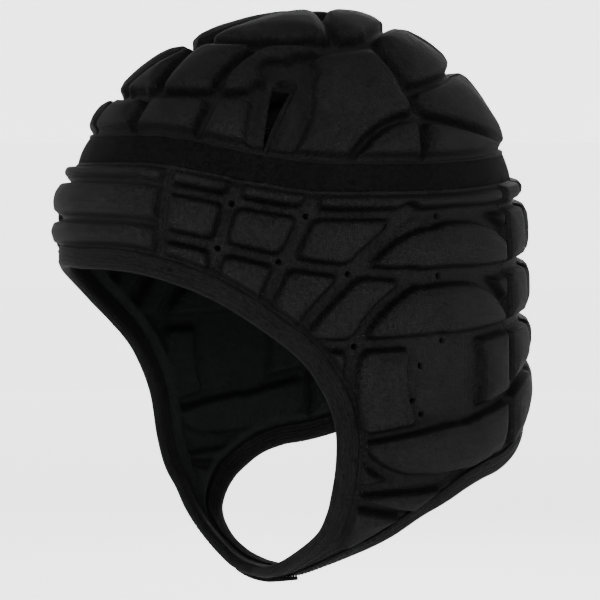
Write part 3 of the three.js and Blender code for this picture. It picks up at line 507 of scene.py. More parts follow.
def spline(places: Sequence[Place], level_of: Callable[[float], float], count: int) -> np.ndarray:
    """A smooth line through places, as the part's source draws it.

    Args:
        places: the table of places.
        level_of: turns a share into a level.
        count: number of points on the line.

    Returns:
        Rows of angle and level.
    """
    knots = np.array([(place.angle, level_of(place.share)) for place in places])
    last = len(knots) - 1
    along = np.linspace(0, last, count)
    index = np.minimum(along.astype(int), last - 1)
    s = (along - index)[:, None]
    p0 = knots[np.maximum(index - 1, 0)]
    p1, p2 = knots[index], knots[index + 1]
    p3 = knots[np.minimum(index + 2, last)]
    v0, v1 = (p2 - p0) / 2, (p3 - p1) / 2
    cubic = (2 * p1 - 2 * p2 + v0 + v1) * s**3
    square = (-3 * p1 + 3 * p2 - 2 * v0 - v1) * s**2
    return cubic + square + v0 * s + p1


def evenly(line: np.ndarray, lengths: np.ndarray, spacing: float) -> np.ndarray:
    """Rows of a line taken again at equal distances.

    Args:
        line: rows of numbers along the line.
        lengths: distance run at each row.
        spacing: wanted distance between rows.

    Returns:
        The rows at equal distances, both ends included.
    """
    count = max(2, int(round(lengths[-1] / spacing)))
    wanted = np.linspace(0, lengths[-1], count + 1)
    return np.stack([np.interp(wanted, lengths, column) for column in line.T], axis=-1)


def run_length(points: np.ndarray) -> np.ndarray:
    """Distance run along a line of points at each of them."""
    return np.concatenate([[0], np.cumsum(np.linalg.norm(np.diff(points, axis=0), axis=1))])


def weave_grid(along: np.ndarray, around: np.ndarray) -> np.ndarray:
    """Flat places, in metres, of rings' points, by their distances along and around."""
    return np.stack(np.meshgrid(along, around, indexing="ij"), axis=-1).reshape(-1, 2) * METRES


def distance_to(points: np.ndarray, line: np.ndarray) -> np.ndarray:
    """Shortest distance from each point to a line of points in space."""
    nearest = np.full(len(points), 1e9)
    for start, end in zip(line[:-1], line[1:]):
        span = end - start
        share = np.clip((points - start) @ span / max(float(span @ span), 1e-9), 0, 1)
        nearest = np.minimum(nearest, np.linalg.norm(points - start - share[:, None] * span, axis=1))
    return nearest


def cloth_noise(points: np.ndarray, size: float, seed: float) -> np.ndarray:
    """Smooth noise from -1 to 1 at points, with features of a size in millimetres."""
    shifted = points / size + seed
    return np.array([noise.noise(Vector(point)) for point in shifted])


def inside(points: np.ndarray, polygon: np.ndarray) -> np.ndarray:
    """Which flat points lie inside a polygon."""
    result = np.zeros(len(points), bool)
    for (x1, y1), (x2, y2) in zip(polygon, np.roll(polygon, -1, axis=0)):
        crosses = (y1 > points[:, 1]) != (y2 > points[:, 1])
        slope = (x2 - x1) / (y2 - y1 if y2 != y1 else 1e-9)
        result ^= crosses & (points[:, 0] < slope * (points[:, 1] - y1) + x1)
    return result


def write_mesh(
    name: str,
    points: np.ndarray,
    faces: Sequence[Sequence[int]],
    values: dict[str, np.ndarray] | None = None,
    face_finish: Sequence[int] | None = None,
    weave: np.ndarray | None = None,
) -> bpy.types.Object:
    """Makes a smooth-shaded object from points in millimetres.

    Args:
        name: the object's name.
        points: rows of x, y and z.
        faces: corner numbers of each face.
        values: named numbers for every point.
        face_finish: material number of each face.
        weave: flat place of every point, in metres, for patterns that follow the cloth.

    Returns:
        The new object, linked to the scene.
    """
    mesh = bpy.data.meshes.new(name)
    mesh.from_pydata((points * METRES).tolist(), [], [list(map(int, face)) for face in faces])
    for key, numbers in (values or {}).items():
        layer = mesh.attributes.new(key, "FLOAT", "POINT")
        layer.data.foreach_set("value", np.asarray(numbers, np.float32))
    mesh.polygons.foreach_set("use_smooth", np.ones(len(mesh.polygons), bool))
    if face_finish is not None:
        mesh.polygons.foreach_set("material_index", np.asarray(face_finish, np.int32))
    if weave is not None:
        corners = np.empty(len(mesh.loops), np.int32)
        mesh.loops.foreach_get("vertex_index", corners)
        layer = mesh.uv_layers.new(name="weave")
        layer.data.foreach_set("uv", np.asarray(weave, np.float32)[corners].ravel())
    mesh.update()
    made = bpy.data.objects.new(name, mesh)
    bpy.context.scene.collection.objects.link(made)
    return made


def ring_faces(rings: int, size: int, loop: bool) -> list[tuple[int, int, int, int]]:
    """Faces between rings of equally many points.

    Args:
        rings: number of rings.
        size: points of each ring.
        loop: whether the last ring meets the first.

    Returns:
        Corner numbers of the faces, with end faces when the rings don't meet.
    """
    faces = []
    for ring in range(rings if loop else rings - 1):
        here, there = ring * size, (ring + 1) % rings * size
        for k in range(size):
            after = (k + 1) % size
            faces.append((here + k, there + k, there + after, here + after))
    if not loop:
        faces.append(tuple(range(size)))
        faces.append(tuple((rings - 1) * size + k for k in reversed(range(size))))
    return faces


def facing_out(points: np.ndarray, faces: list) -> list:
    """The faces turned so that the body they close has a positive volume."""
    volume = 0.0
    for face in faces:
        a = points[face[0]]
        for second, third in zip(face[1:-1], face[2:]):
            volume += float(a @ np.cross(points[second], points[third]))
    return faces if volume > 0 else [tuple(reversed(face)) for face in faces]


@dataclass(frozen=True)
class PadRelief:
    """Heights of a padded panel above and below its middle surface.

    Args:
        outward: height of the pads outside.
        inward: depth of the padding inside.
        floor: height of a flat hem or seam.
        sunk: height of a quilted channel's floor.
        rounding: distance over which the lining's edge rounds over.
        corner: how far the pads' corners are rounded.
        foot: how far the walls' foot lies inside the channel's edge.
        wall: distances over which a pad's wall rises.
        wall_share: share of the height that the wall has.
        shoulder: distances over which its round shoulder rises.
        shoulder_share: share of the height that the shoulder has.
        dome: extra height at the middle of a wide pad.
        dome_reach: distances over which it rises.
        puff_reach: distances over which the cloth's swelling rises.
        dent: how far a channel shows on the lining.
        dent_reach: distances over which it does.
        hem: width of the unpadded hem.
        seam: width of the unpadded strip beside a seam.
    """

    outward: float = 6.2
    inward: float = 6.0
    floor: float = 1.3
    sunk: float = 0.3
    rounding: float = 4.2
    corner: float = 3.5
    foot: float = 0.5
    wall: tuple[float, float] = (-0.2, 1.6)
    wall_share: float = 0.78
    shoulder: tuple[float, float] = (0.6, 6.0)
    shoulder_share: float = 0.22
    dome: float = 0.9
    dome_reach: tuple[float, float] = (1.0, 16.0)
    puff_reach: tuple[float, float] = (1.0, 7.0)
    dent: float = 3.2
    dent_reach: tuple[float, float] = (-0.4, 3.2)
    hem: float = 9.2
    seam: float = 2.0


class Wrinkle(NamedTuple):
    """Uneven heights of a padded cloth.

    Args:
        height: the most that a point rises or sinks.
        size: width of a swelling.
        seed: what tells this noise from the others.
    """

    height: float
    size: float
    seed: float

    def at(self, points: np.ndarray, seed: float) -> np.ndarray:
        """Heights at points, for the seed of a panel."""
        return self.height * cloth_noise(points, self.size, seed + self.seed)


WIDE_SWELL = Wrinkle(0.35, 26, 0)
SMALL_SWELL = Wrinkle(0.16, 9, 5)
PUCKER = Wrinkle(0.05, 3.5, 9)
LINING_SWELL = Wrinkle(0.15, 11, 13)
TAPE_RIPPLE = Wrinkle(0.16, 6, 2.3)
PILE_TUFTS = Wrinkle(0.22, 7, 4.1)
PILE_FIBRES = Wrinkle(0.1, 2.2, 8.7)
PIPING_WOBBLE = Wrinkle(0.08, 5, 6.2)


@dataclass(frozen=True)
class CreaseShade:
    """Painted shade in the creases at the foot of the pads: how dark and how wide it is.

    Args:
        middle: distance of the darkest line from the channel's edge.
        width: distance over which it fades.
        least: share that is left on walls that stand upright.
        border: share of the painted crease shade beside hems and seams.
        haze: share of the wide painted shade round every crease.
        haze_width: distance over which the wide painted shade fades.
        lining: share of the painted crease shade on the lining.
    """

    middle: float = 0.6
    width: float = 1.25
    least: float = 0.42
    border: float = 0.8
    haze: float = 0.25
    haze_width: float = 2.5
    lining: float = 0.8


CREASE_SHADE = CreaseShade()


@dataclass
class PaddedPanel:
    """One quilted panel: pads divided by sunk channels, over a smooth lining.

    Args:
        node: the CAD node that it stands for.
        form: the head form.
        layout: the flat layout that it is cut in.
        outline: its edge, as rows of angle and level.
        hems: edges with an unpadded hem.
        seams: edges with an unpadded strip.
        channels: the quilting's channels.
        level_of: turns a share into a level.
        vents: places of the vent holes.
        holes: closed edges of cuts through the panel.
        flats: closed edges of patches without padding.
        flat_from: level where the padding ends, if it does.
        spacing: distance between points outside.
        lining_spacing: distance between points inside.
        relief: heights of the pads and the lining.
        vent_radius: radius of a vent hole.
        vent_depth: its depth.
        vent_rings: radius and number of points of the rings round a vent.
        vent_room: distance that other points keep from a vent.
        seed: what tells this panel's noise from the others'.
    """

    node: str
    form: HeadForm
    layout: Layout
    outline: np.ndarray
    hems: list[np.ndarray]
    seams: list[np.ndarray]
    channels: list[Channel]
    level_of: Callable[[float], float]
    vents: list[Place] = field(default_factory=list)
    holes: list[np.ndarray] = field(default_factory=list)
    flats: list[np.ndarray] = field(default_factory=list)
    flat_from: float | None = None
    spacing: float = 0.82
    lining_spacing: float = 1.5
    relief: PadRelief = PadRelief()
    vent_radius: float = 1.25
    vent_depth: float = 2.6
    vent_rings: tuple = ((0.6, 6), (1.1, 10), (1.45, 12), (2.0, 12))
    vent_room: float = 2.6
    seed: float = 0.0

    def build(self, finishes: Sequence[bpy.types.Material]) -> bpy.types.Object:
        """Builds the panel.

        Args:
            finishes: the outside's material and the lining's.

        Returns:
            The finished object.
        """
        border = self._border_loops()
        flat, faces = self._triangles(border, self.spacing, True)
        inner_flat, inner_faces = self._triangles(border, self.lining_spacing, False)
        outer, painted_crease_shade, pit = self._outside(flat, faces)
        inner, painted_lining_shade = self._lining(inner_flat, inner_faces)
        points = np.vstack([
            self.form.raised(self.layout, flat, outer),
            self.form.raised(self.layout, inner_flat, inner),
        ])
        shell, finish = self._close(faces, inner_faces, len(flat))
        nothing = np.zeros(len(inner_flat))
        # painted shade: the crease shade of the outside and the lining, and the vents' pits, darken the
        # cloth's colour
        values = {"painted_crease_shade": np.concatenate([painted_crease_shade, painted_lining_shade]), "pit": np.concatenate([pit, nothing])}
        weave = np.vstack([flat, inner_flat]) * METRES
        made = write_mesh(self.node + "_quilted", points, shell, values, finish, weave)
        for material in finishes:
            made.data.materials.append(material)
        return made

    def _border_loops(self) -> list[np.ndarray]:
        """The outline and the holes as closed loops of flat points."""
        lines = [self.outline, *self.holes]
        return [self._dense_loop(self.form.flatten(self.layout, line)) for line in lines]

    def _triangles(
        self, loops: list[np.ndarray], spacing: float, with_vents: bool
    ) -> tuple[np.ndarray, np.ndarray]:
        """Triangles that fill the outline in the flat layout, without the holes.

        Args:
            loops: the outline, then the holes.
            spacing: distance between points.
            with_vents: whether rings of points lie round the vents.

        Returns:
            Flat points, the loops' first, and the corners of the triangles.
        """
        border = np.vstack(loops)
        grid = self._clear_of(self._grid(loops, spacing), border, 0.62 * spacing)
        if with_vents and self.vents:
            centres = self.form.flatten(self.layout, self._vent_places())
            grid = self._clear_of(grid, centres, self.vent_room)
            grid = np.vstack([grid, self._vent_spots(centres)])
        first = len(loops[0])
        edges = []
        start = first
        for loop in loops[1:]:
            edges += [(start + k, start + (k + 1) % len(loop)) for k in range(len(loop))]
            start += len(loop)
        spots = [Vector(spot) for spot in np.vstack([border, grid]).tolist()]
        corners, _, triangles, *_ = delaunay_2d_cdt(spots, edges, [list(range(first))], 1, 1e-5)
        flat = np.array([tuple(corner) for corner in corners])
        faces = np.array([face for face in triangles if len(face) == 3])
        for loop in loops[1:]:
            faces = faces[~inside(flat[faces].mean(axis=1), loop)]
        edge1 = flat[faces[:, 1]] - flat[faces[:, 0]]
        edge2 = flat[faces[:, 2]] - flat[faces[:, 0]]
        turned = edge1[:, 0] * edge2[:, 1] - edge1[:, 1] * edge2[:, 0] < 0
        faces[turned] = faces[turned][:, ::-1]
        return flat, faces

    @staticmethod
    def _grid(loops: list[np.ndarray], spacing: float) -> np.ndarray:
        """Points in staggered rows inside the first loop and outside the others."""
        low, high = loops[0].min(axis=0), loops[0].max(axis=0)
        row = spacing * math.sqrt(3) / 2
        rows = []
        for number, y in enumerate(np.arange(low[1] + row / 2, high[1], row)):
            xs = np.arange(low[0] + spacing * (0.25 + 0.5 * (number % 2)), high[0], spacing)
            rows.append(np.stack([xs, np.full(len(xs), y)], axis=-1))
        grid = np.vstack(rows)
        grid = grid[inside(grid, loops[0])]
        for loop in loops[1:]:
            grid = grid[~inside(grid, loop)]
        return grid

    def _dense_loop(self, corners: np.ndarray) -> np.ndarray:
        """A closed loop with a point every spacing or so."""
        points = []
        for start, end in zip(corners, np.roll(corners, -1, axis=0)):
            count = max(1, int(round(np.linalg.norm(end - start) / self.spacing)))
            points.append(start + (end - start) * (np.arange(count) / count)[:, None])
        return np.vstack(points)

    @staticmethod
    def _clear_of(grid: np.ndarray, others: np.ndarray, gap: float) -> np.ndarray:
        """The grid's points that keep a distance from other points."""
        keep = np.ones(len(grid), bool)
        for part in np.array_split(others, max(1, len(others) // 40)):
            near = np.linalg.norm(grid[:, None, :] - part[None, :, :], axis=2).min(axis=1) < gap
            keep &= ~near
        return grid[keep]

    def _vent_places(self) -> np.ndarray:
        """Vents as rows of angle and level."""
        return np.array([(vent.angle, self.level_of(vent.share)) for vent in self.vents])

    def _vent_spots(self, centres: np.ndarray) -> np.ndarray:
        """Flat spots in rings round each vent, so that its rim is crisp."""
        spots = []
        for x, y in centres:
            spots.append((x, y))
            for radius, count in self.vent_rings:
                turn = np.arange(count) * math.tau / count
                spots += list(zip(x + radius * np.cos(turn), y + radius * np.sin(turn)))
        return np.array(spots)

    def _off_channel(self, quilting: Channel, middle: np.ndarray) -> np.ndarray:
        """Distance of each point from the foot of a channel's walls."""
        line = self.form.on_surface(self.layout, quilting.places(self.level_of))
        return distance_to(middle, line) - quilting.width / 2 + self.relief.foot

    def _clearance(self, flat: np.ndarray, middle: np.ndarray) -> np.ndarray:
        """Distance of each point from the edge of the nearest deep channel."""
        nearest = np.full(len(middle), FAR_AWAY)
        for quilting in self.channels:
            if quilting.depth == 1:
                clearance = self._off_channel(quilting, middle)
                nearest = smooth_min(nearest, clearance, self.relief.corner)
        for ring in self.flats:
            ring_flat = self.form.flatten(self.layout, ring)
            edge = self.form.spot(self.layout, ring_flat)
            clearance = distance_to(middle, edge)
            clearance[inside(flat, ring_flat)] *= -1
            nearest = smooth_min(nearest, clearance, self.relief.corner)
        return nearest

    def _shallow(self, middle: np.ndarray) -> np.ndarray:
        """The most height that the shallow channels leave."""
        relief = self.relief
        height = np.full(len(middle), relief.outward)
        for quilting in self.channels:
            if quilting.depth < 1:
                low = relief.outward - (relief.outward - relief.sunk) * quilting.depth
                profile = self._profile(self._off_channel(quilting, middle))
                height = np.minimum(height, low + (relief.outward - low) * profile)
        return height

    def _outside(self, flat: np.ndarray, faces: np.ndarray) -> tuple[np.ndarray, np.ndarray, np.ndarray]:
        """Heights of the outside, the painted crease shade at the foot of the pads' walls, and how far each
        point lies in a vent.
        """
        middle = self.form.spot(self.layout, flat)
        relief = self.relief
        border = self._border(flat, middle)
        nearest = self._clearance(flat, middle)
        edge = self._profile(border)
        outer = relief.floor + (relief.outward - relief.floor) * edge
        cut = relief.sunk + (relief.outward - relief.sunk) * self._profile(nearest)
        outer = np.minimum(np.minimum(outer, cut), self._shallow(middle))
        inland = np.minimum(nearest, border)
        outer = outer + relief.dome * smooth_step(inland, *relief.dome_reach)
        outer = self._relax(outer, faces)
        puff = smooth_step(inland, *relief.puff_reach)
        wide = WIDE_SWELL.at(middle, self.seed) + SMALL_SWELL.at(middle, self.seed)
        outer = outer + puff * wide + PUCKER.at(middle, self.seed)
        # painted shade: dark crease lines at the foot of the pads' walls, a weaker one beside hems and seams,
        # and a wide painted shade round every crease
        wall = self._crease_shade(nearest, middle, faces) * smooth_step(border, -1, 2)
        painted_crease_shade = np.maximum(wall, CREASE_SHADE.border * self._crease_shade(border, middle, faces))
        haze = CREASE_SHADE.haze * np.exp(-np.abs(inland - 1) / CREASE_SHADE.haze_width)
        painted_crease_shade = np.maximum(painted_crease_shade, haze)
        pit = self._pits(middle)
        return outer - self.vent_depth * pit, painted_crease_shade, pit

    def _border(self, flat: np.ndarray, middle: np.ndarray) -> np.ndarray:
        """Distance of each point from the unpadded strips at hems, seams and the strap's end."""
        border = np.full(len(flat), 1e9)
        for lines, width in ((self.hems, self.relief.hem), (self.seams, self.relief.seam)):
            for line in lines:
                edge = self.form.on_surface(self.layout, line)
                border = np.minimum(border, distance_to(middle, edge) - width)
        if self.flat_from is not None:
            border = np.minimum(border, self.flat_from + flat[:, 1])
        return border

    def _profile(self, clearance: np.ndarray) -> np.ndarray:
        """Share of a pad's height beside a channel: a wall, then a round shoulder."""
        relief = self.relief
        wall = relief.wall_share * smooth_step(clearance, *relief.wall)
        return wall + relief.shoulder_share * smooth_step(clearance, *relief.shoulder)

    @staticmethod
    def _crease_shade(clearance: np.ndarray, middle: np.ndarray, faces: np.ndarray) -> np.ndarray:
        """Painted crease shade: how much of a crease each point lies in, deepest along walls that look up or
        down.

        Args:
            clearance: distance from the edge of the nearest channel or strip.
            middle: the points on the middle surface.
            faces: the triangles between them.

        Returns:
            Numbers from 0 to 1.
        """
        line = np.exp(-(((clearance - CREASE_SHADE.middle) / CREASE_SHADE.width) ** 2))
        a, b, c = (middle[faces[:, k]] for k in range(3))
        normal = unit(np.cross(b - a, c - a))
        rise = np.cross(normal, c - b) * clearance[faces[:, 0], None]
        rise = rise + np.cross(normal, a - c) * clearance[faces[:, 1], None]
        rise = rise + np.cross(normal, b - a) * clearance[faces[:, 2], None]
        steep = np.abs(unit(rise)[:, 2]) / np.maximum(np.sqrt(1 - normal[:, 2] ** 2), 0.2)
        corners = faces.ravel()
        count = np.maximum(np.bincount(corners, minlength=len(middle)), 1)
        upright = np.bincount(corners, weights=np.repeat(steep, 3), minlength=len(middle)) / count
        return line * (CREASE_SHADE.least + (1 - CREASE_SHADE.least) * np.clip(upright, 0, 1))

    @staticmethod
    def _relax(heights: np.ndarray, faces: np.ndarray) -> np.ndarray:
        """Heights smoothed over neighbouring points, so that ridges round off."""
        pairs = np.vstack([faces[:, [0, 1]], faces[:, [1, 2]], faces[:, [2, 0]]])
        ends = np.concatenate([pairs[:, 0], pairs[:, 1]])
        starts = np.concatenate([pairs[:, 1], pairs[:, 0]])
        count = np.maximum(np.bincount(ends, minlength=len(heights)), 1)
        total = np.bincount(ends, weights=heights[starts], minlength=len(heights))
        return 0.45 * heights + 0.55 * total / count

    def _lining(self, flat: np.ndarray, faces: np.ndarray) -> tuple[np.ndarray, np.ndarray]:
        """Heights of the lining, which dents under the channels, and the painted shade in its creases."""
        relief = self.relief
        middle = self.form.spot(self.layout, flat)
        border = self._border(flat, middle)
        nearest = self._clearance(flat, middle)
        share = np.clip(border / relief.rounding, 0, 1)
        depth = relief.floor + (relief.inward - relief.floor) * np.sqrt(1 - (1 - share) ** 2)
        dent = relief.dent * (1 - smooth_step(nearest, *relief.dent_reach))
        depth = np.maximum(depth - dent * smooth_step(border, 2, 8), relief.floor)
        # painted shade in the lining's creases under the channels
        crease = self._crease_shade(nearest - CREASE_SHADE.middle, middle, faces) * smooth_step(border, 1, 5)
        heights = -self._relax(depth, faces) + LINING_SWELL.at(middle, self.seed)
        return heights, CREASE_SHADE.lining * crease

    def _pits(self, middle: np.ndarray) -> np.ndarray:
        """How deep each point lies in a vent, from 0 to 1; the material also paints shade into the vent by
        it.
        """
        pit = np.zeros(len(middle))
        if self.vents:
            low, high = 0.8 * self.vent_radius, 1.1 * self.vent_radius
            for centre in self.form.on_surface(self.layout, self._vent_places()):
                near = np.linalg.norm(middle - centre, axis=1)
                pit = np.maximum(pit, 1 - smooth_step(near, low, high))
        return pit

    @staticmethod
    def _close(faces: np.ndarray, inner_faces: np.ndarray, count: int) -> tuple[list, list[int]]:
        """Faces of the outside, the lining and the walls between them, with their finishes."""
        outside = [tuple(face) for face in faces]
        lining = [tuple(face[::-1] + count) for face in inner_faces]
        edges = {(face[k], face[(k + 1) % 3]) for face in outside for k in range(3)}
        walls = [(b, a, a + count, b + count) for a, b in edges if (b, a) not in edges]
        walls.sort()
        shell = outside + lining + walls
        return shell, [0] * len(outside) + [1] * len(lining) + [0] * len(walls)


@dataclass
class Quilting:
    """The five padded panels of the cap.

    Args:
        form: the head form.
        overlap: degrees by which neighbours overlap at a seam.
        rim_overlap: how far the panels reach under the band.
        rim_step: degrees from one place of a rim to the next.
        seam_above: how far a seam's line starts above the wrap.
        seam_below: how far it ends below the panel.
        seam_places: number of places on a seam.
    """

    form: HeadForm
    overlap: float = 0.15
    rim_overlap: float = 0.3
    rim_step: float = 0.7
    seam_above: float = 3.0
    seam_below: float = 2.0
    seam_places: int = 30

    def build(self, outside: bpy.types.Material, lining: bpy.types.Material) -> None:
        """Builds every panel.

        Args:
            outside: the material of the panels' outside.
            lining: the material of their inside.
        """
        for panel in (self._crown(), self._brow(), self._side(1), self._side(-1), self._nape()):
            piece = panel.build([outside, lining])
            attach(piece, "root")
            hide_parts(panel.node)
            LOG.info("%s has %d faces", piece.name, len(piece.data.polygons))

    def face_line(self, count: int = 260) -> np.ndarray:
        """The left half of the face opening's edge, from the brow to the chin."""
        return spline(FACE_EDGE, self.form.wrap_level, count)

    def neck_line(self, count: int = 260) -> np.ndarray:
        """The left half of the neck opening's edge, from the nape to the chin."""
        return spline(NECK_EDGE, self.form.wrap_level, count)

    def _rim(self, start: float, end: float, level: float) -> np.ndarray:
        """A row of places at one level."""
        count = max(2, int(abs(end - start) / self.rim_step))
        angles = np.linspace(start, end, count)
        return np.stack([angles, np.full(count, level)], axis=-1)

    def _seam(self, angle: float, bottom: float) -> np.ndarray:
        """A seam down the wrap at one angle."""
        top = self.form.band_bottom - self.seam_above
        levels = np.linspace(top, bottom + self.seam_below, self.seam_places)
        return np.stack([np.full(self.seam_places, angle), levels], axis=-1)

    @staticmethod
    def _part(line: np.ndarray, low: float, high: float) -> np.ndarray:
        """The first run of a line's places from one angle to another.

        Args:
            line: rows of angle and level.
            low: angle where the run starts.
            high: angle where it ends.

        Returns:
            The run with exact ends.
        """
        stop = next(k for k, row in enumerate(line) if (row[0] - high) * (low - high) <= 0)
        before, after = line[stop - 1], line[stop]
        share = (high - before[0]) / (after[0] - before[0])
        return np.vstack([line[:stop], before + share * (after - before)])

    @staticmethod
    def _rest(line: np.ndarray, start: float) -> np.ndarray:
        """The rest of a line's places, from where it first passes an angle."""
        first = line[0][0]
        stop = next(k for k, row in enumerate(line) if (row[0] - start) * (first - start) <= 0)
        before, after = line[stop - 1], line[stop]
        share = (start - before[0]) / (after[0] - before[0])
        return np.vstack([before + share * (after - before), line[stop:]])

    def _crown(self) -> PaddedPanel:
        """The dome above the band, with a slit over each temple."""
        form = self.form
        level_of = form.crown_level
        outline = self._rim(-180, 180, form.crown_skirt + self.rim_overlap)[:-1]
        channels = list(CROWN_CHANNELS) + [each.mirrored() for each in CROWN_CHANNELS]
        channels += list(CROWN_CENTRE_CHANNELS)
        vents = list(CROWN_VENTS) + [Place(-vent.angle, vent.share) for vent in CROWN_VENTS]
        holes = [
            np.array([(sign * corner.angle, level_of(corner.share)) for corner in SLIT]) for sign in (1, -1)
        ]
        return PaddedPanel(
            "crown_panel", form, Layout.DISC, outline, [], [self._rim(-180, 180, form.crown_skirt)],
            channels, level_of, vents, holes, relief=PadRelief(floor=1.35), seed=3.1,
        )

    def _brow(self) -> PaddedPanel:
        """The panel over the forehead."""
        form = self.form
        reach = BROW_SEAM + self.overlap
        half = self._part(self.face_line(), 0, reach)
        edge = np.vstack([half[:0:-1] * [-1, 1], half])
        rim = self._rim(-reach, reach, form.band_bottom - self.rim_overlap)
        outline = np.vstack([rim, edge[::-1]])
        beyond = self._part(self.face_line(), 0, BROW_SEAM + HEM_BEYOND)
        hem = np.vstack([beyond[:0:-1] * [-1, 1], beyond])
        bottom = half[-1][1]
        rim_end = BROW_SEAM + BROW_RIM_BEYOND
        seams = [self._rim(-rim_end, rim_end, form.band_bottom)]
        seams += [self._seam(sign * BROW_SEAM, bottom) for sign in (1, -1)]
        return PaddedPanel(
            "brow_panel", form, Layout.STRIP, outline, [hem], seams, list(BROW_CHANNELS),
            form.wrap_level, relief=PadRelief(floor=1.25), seed=7.7,
        )

    def _side(self, sign: int) -> PaddedPanel:
        """A panel over a temple and ear, with its strap down to the chin.

        Args:
            sign: 1 for the wearer's left, -1 for the right.

        Returns:
            The panel, not yet built.
        """
        form = self.form
        face = self._rest(self.face_line(), BROW_SEAM - self.overlap)
        neck = self._rest(self.neck_line(), NAPE_SEAM + self.overlap)
        start, end = BROW_SEAM - self.overlap, NAPE_SEAM + self.overlap
        rim = self._rim(start, end, form.band_bottom - self.rim_overlap)
        outline = np.vstack([rim, neck, face[::-1]])
        outline[:, 1] = np.minimum(outline[:, 1], form.chin_level - 0.05)
        hems = [
            self._rest(self.face_line(), BROW_SEAM - HEM_BEYOND),
            self._rest(self.neck_line(), NAPE_SEAM + HEM_BEYOND),
        ]
        seams = [
            self._rim(BROW_SEAM - SEAM_BEYOND, NAPE_SEAM + SEAM_BEYOND, form.band_bottom),
            self._seam(BROW_SEAM, face[0][1]),
            self._seam(NAPE_SEAM, neck[0][1]),
        ]
        channels = list(SIDE_CHANNELS)
        vents = list(SIDE_VENTS)
        if sign < 0:
            flip = np.array([-1, 1])
            outline = outline * flip
            hems, seams = ([line * flip for line in lines] for lines in (hems, seams))
            channels = [each.mirrored() for each in channels]
            vents = [Place(-vent.angle, vent.share) for vent in vents]
        name = "side_panel_left" if sign > 0 else "side_panel_right"
        return PaddedPanel(
            name, form, Layout.STRIP, outline, hems, seams, channels, form.wrap_level, vents,
            flats=[self._ear_ring(sign)], flat_from=form.wrap_level(STRAP_FLAT_FROM),
            relief=PadRelief(floor=1.3), seed=11.3 + sign,
        )

    def _ear_ring(self, sign: int) -> np.ndarray:
        """The closed edge of the thin patch over an ear, on the side of the sign."""
        turn = np.linspace(0, math.tau, 61)
        angles = EAR_PATCH.angle + EAR_PATCH_HALF_TURN * np.cos(turn)
        shares = np.clip(EAR_PATCH.share + EAR_PATCH_HALF_DROP * np.sin(turn), *EAR_PATCH_SHARES)
        levels = self.form.wrap_level(0) + (self.form.chin_level - self.form.band_bottom) * shares
        return np.stack([sign * angles, levels], axis=-1)

    def _nape(self) -> PaddedPanel:
        """The column of pads at the back of the head."""
        form = self.form
        reach = NAPE_SEAM - self.overlap
        half = self._part(self.neck_line(), 180, reach)
        other = half[1:] * [-1, 1] + [360, 0]
        edge = np.vstack([half[::-1], other])
        rim = self._rim(reach, 360 - reach, form.band_bottom - self.rim_overlap)
        outline = np.vstack([rim, edge[::-1]])
        beyond = self._part(self.neck_line(), 180, NAPE_SEAM - HEM_BEYOND)
        hem = np.vstack([beyond[::-1], beyond[1:] * [-1, 1] + [360, 0]])
        from_left = NAPE_SEAM - SEAM_BEYOND
        seams = [self._rim(from_left, 360 - from_left, form.band_bottom)]
        seams += [self._seam(angle, half[-1][1]) for angle in (NAPE_SEAM, 360 - NAPE_SEAM)]
        channels = list(NAPE_CHANNELS) + [each.mirrored(180) for each in NAPE_CHANNELS]
        channels += list(NAPE_CENTRE_CHANNELS)
        return PaddedPanel(
            "nape_panel", form, Layout.STRIP, outline, [hem], seams, channels, form.wrap_level,
            relief=PadRelief(floor=1.22, seam=0.7), seed=19.9,
        )


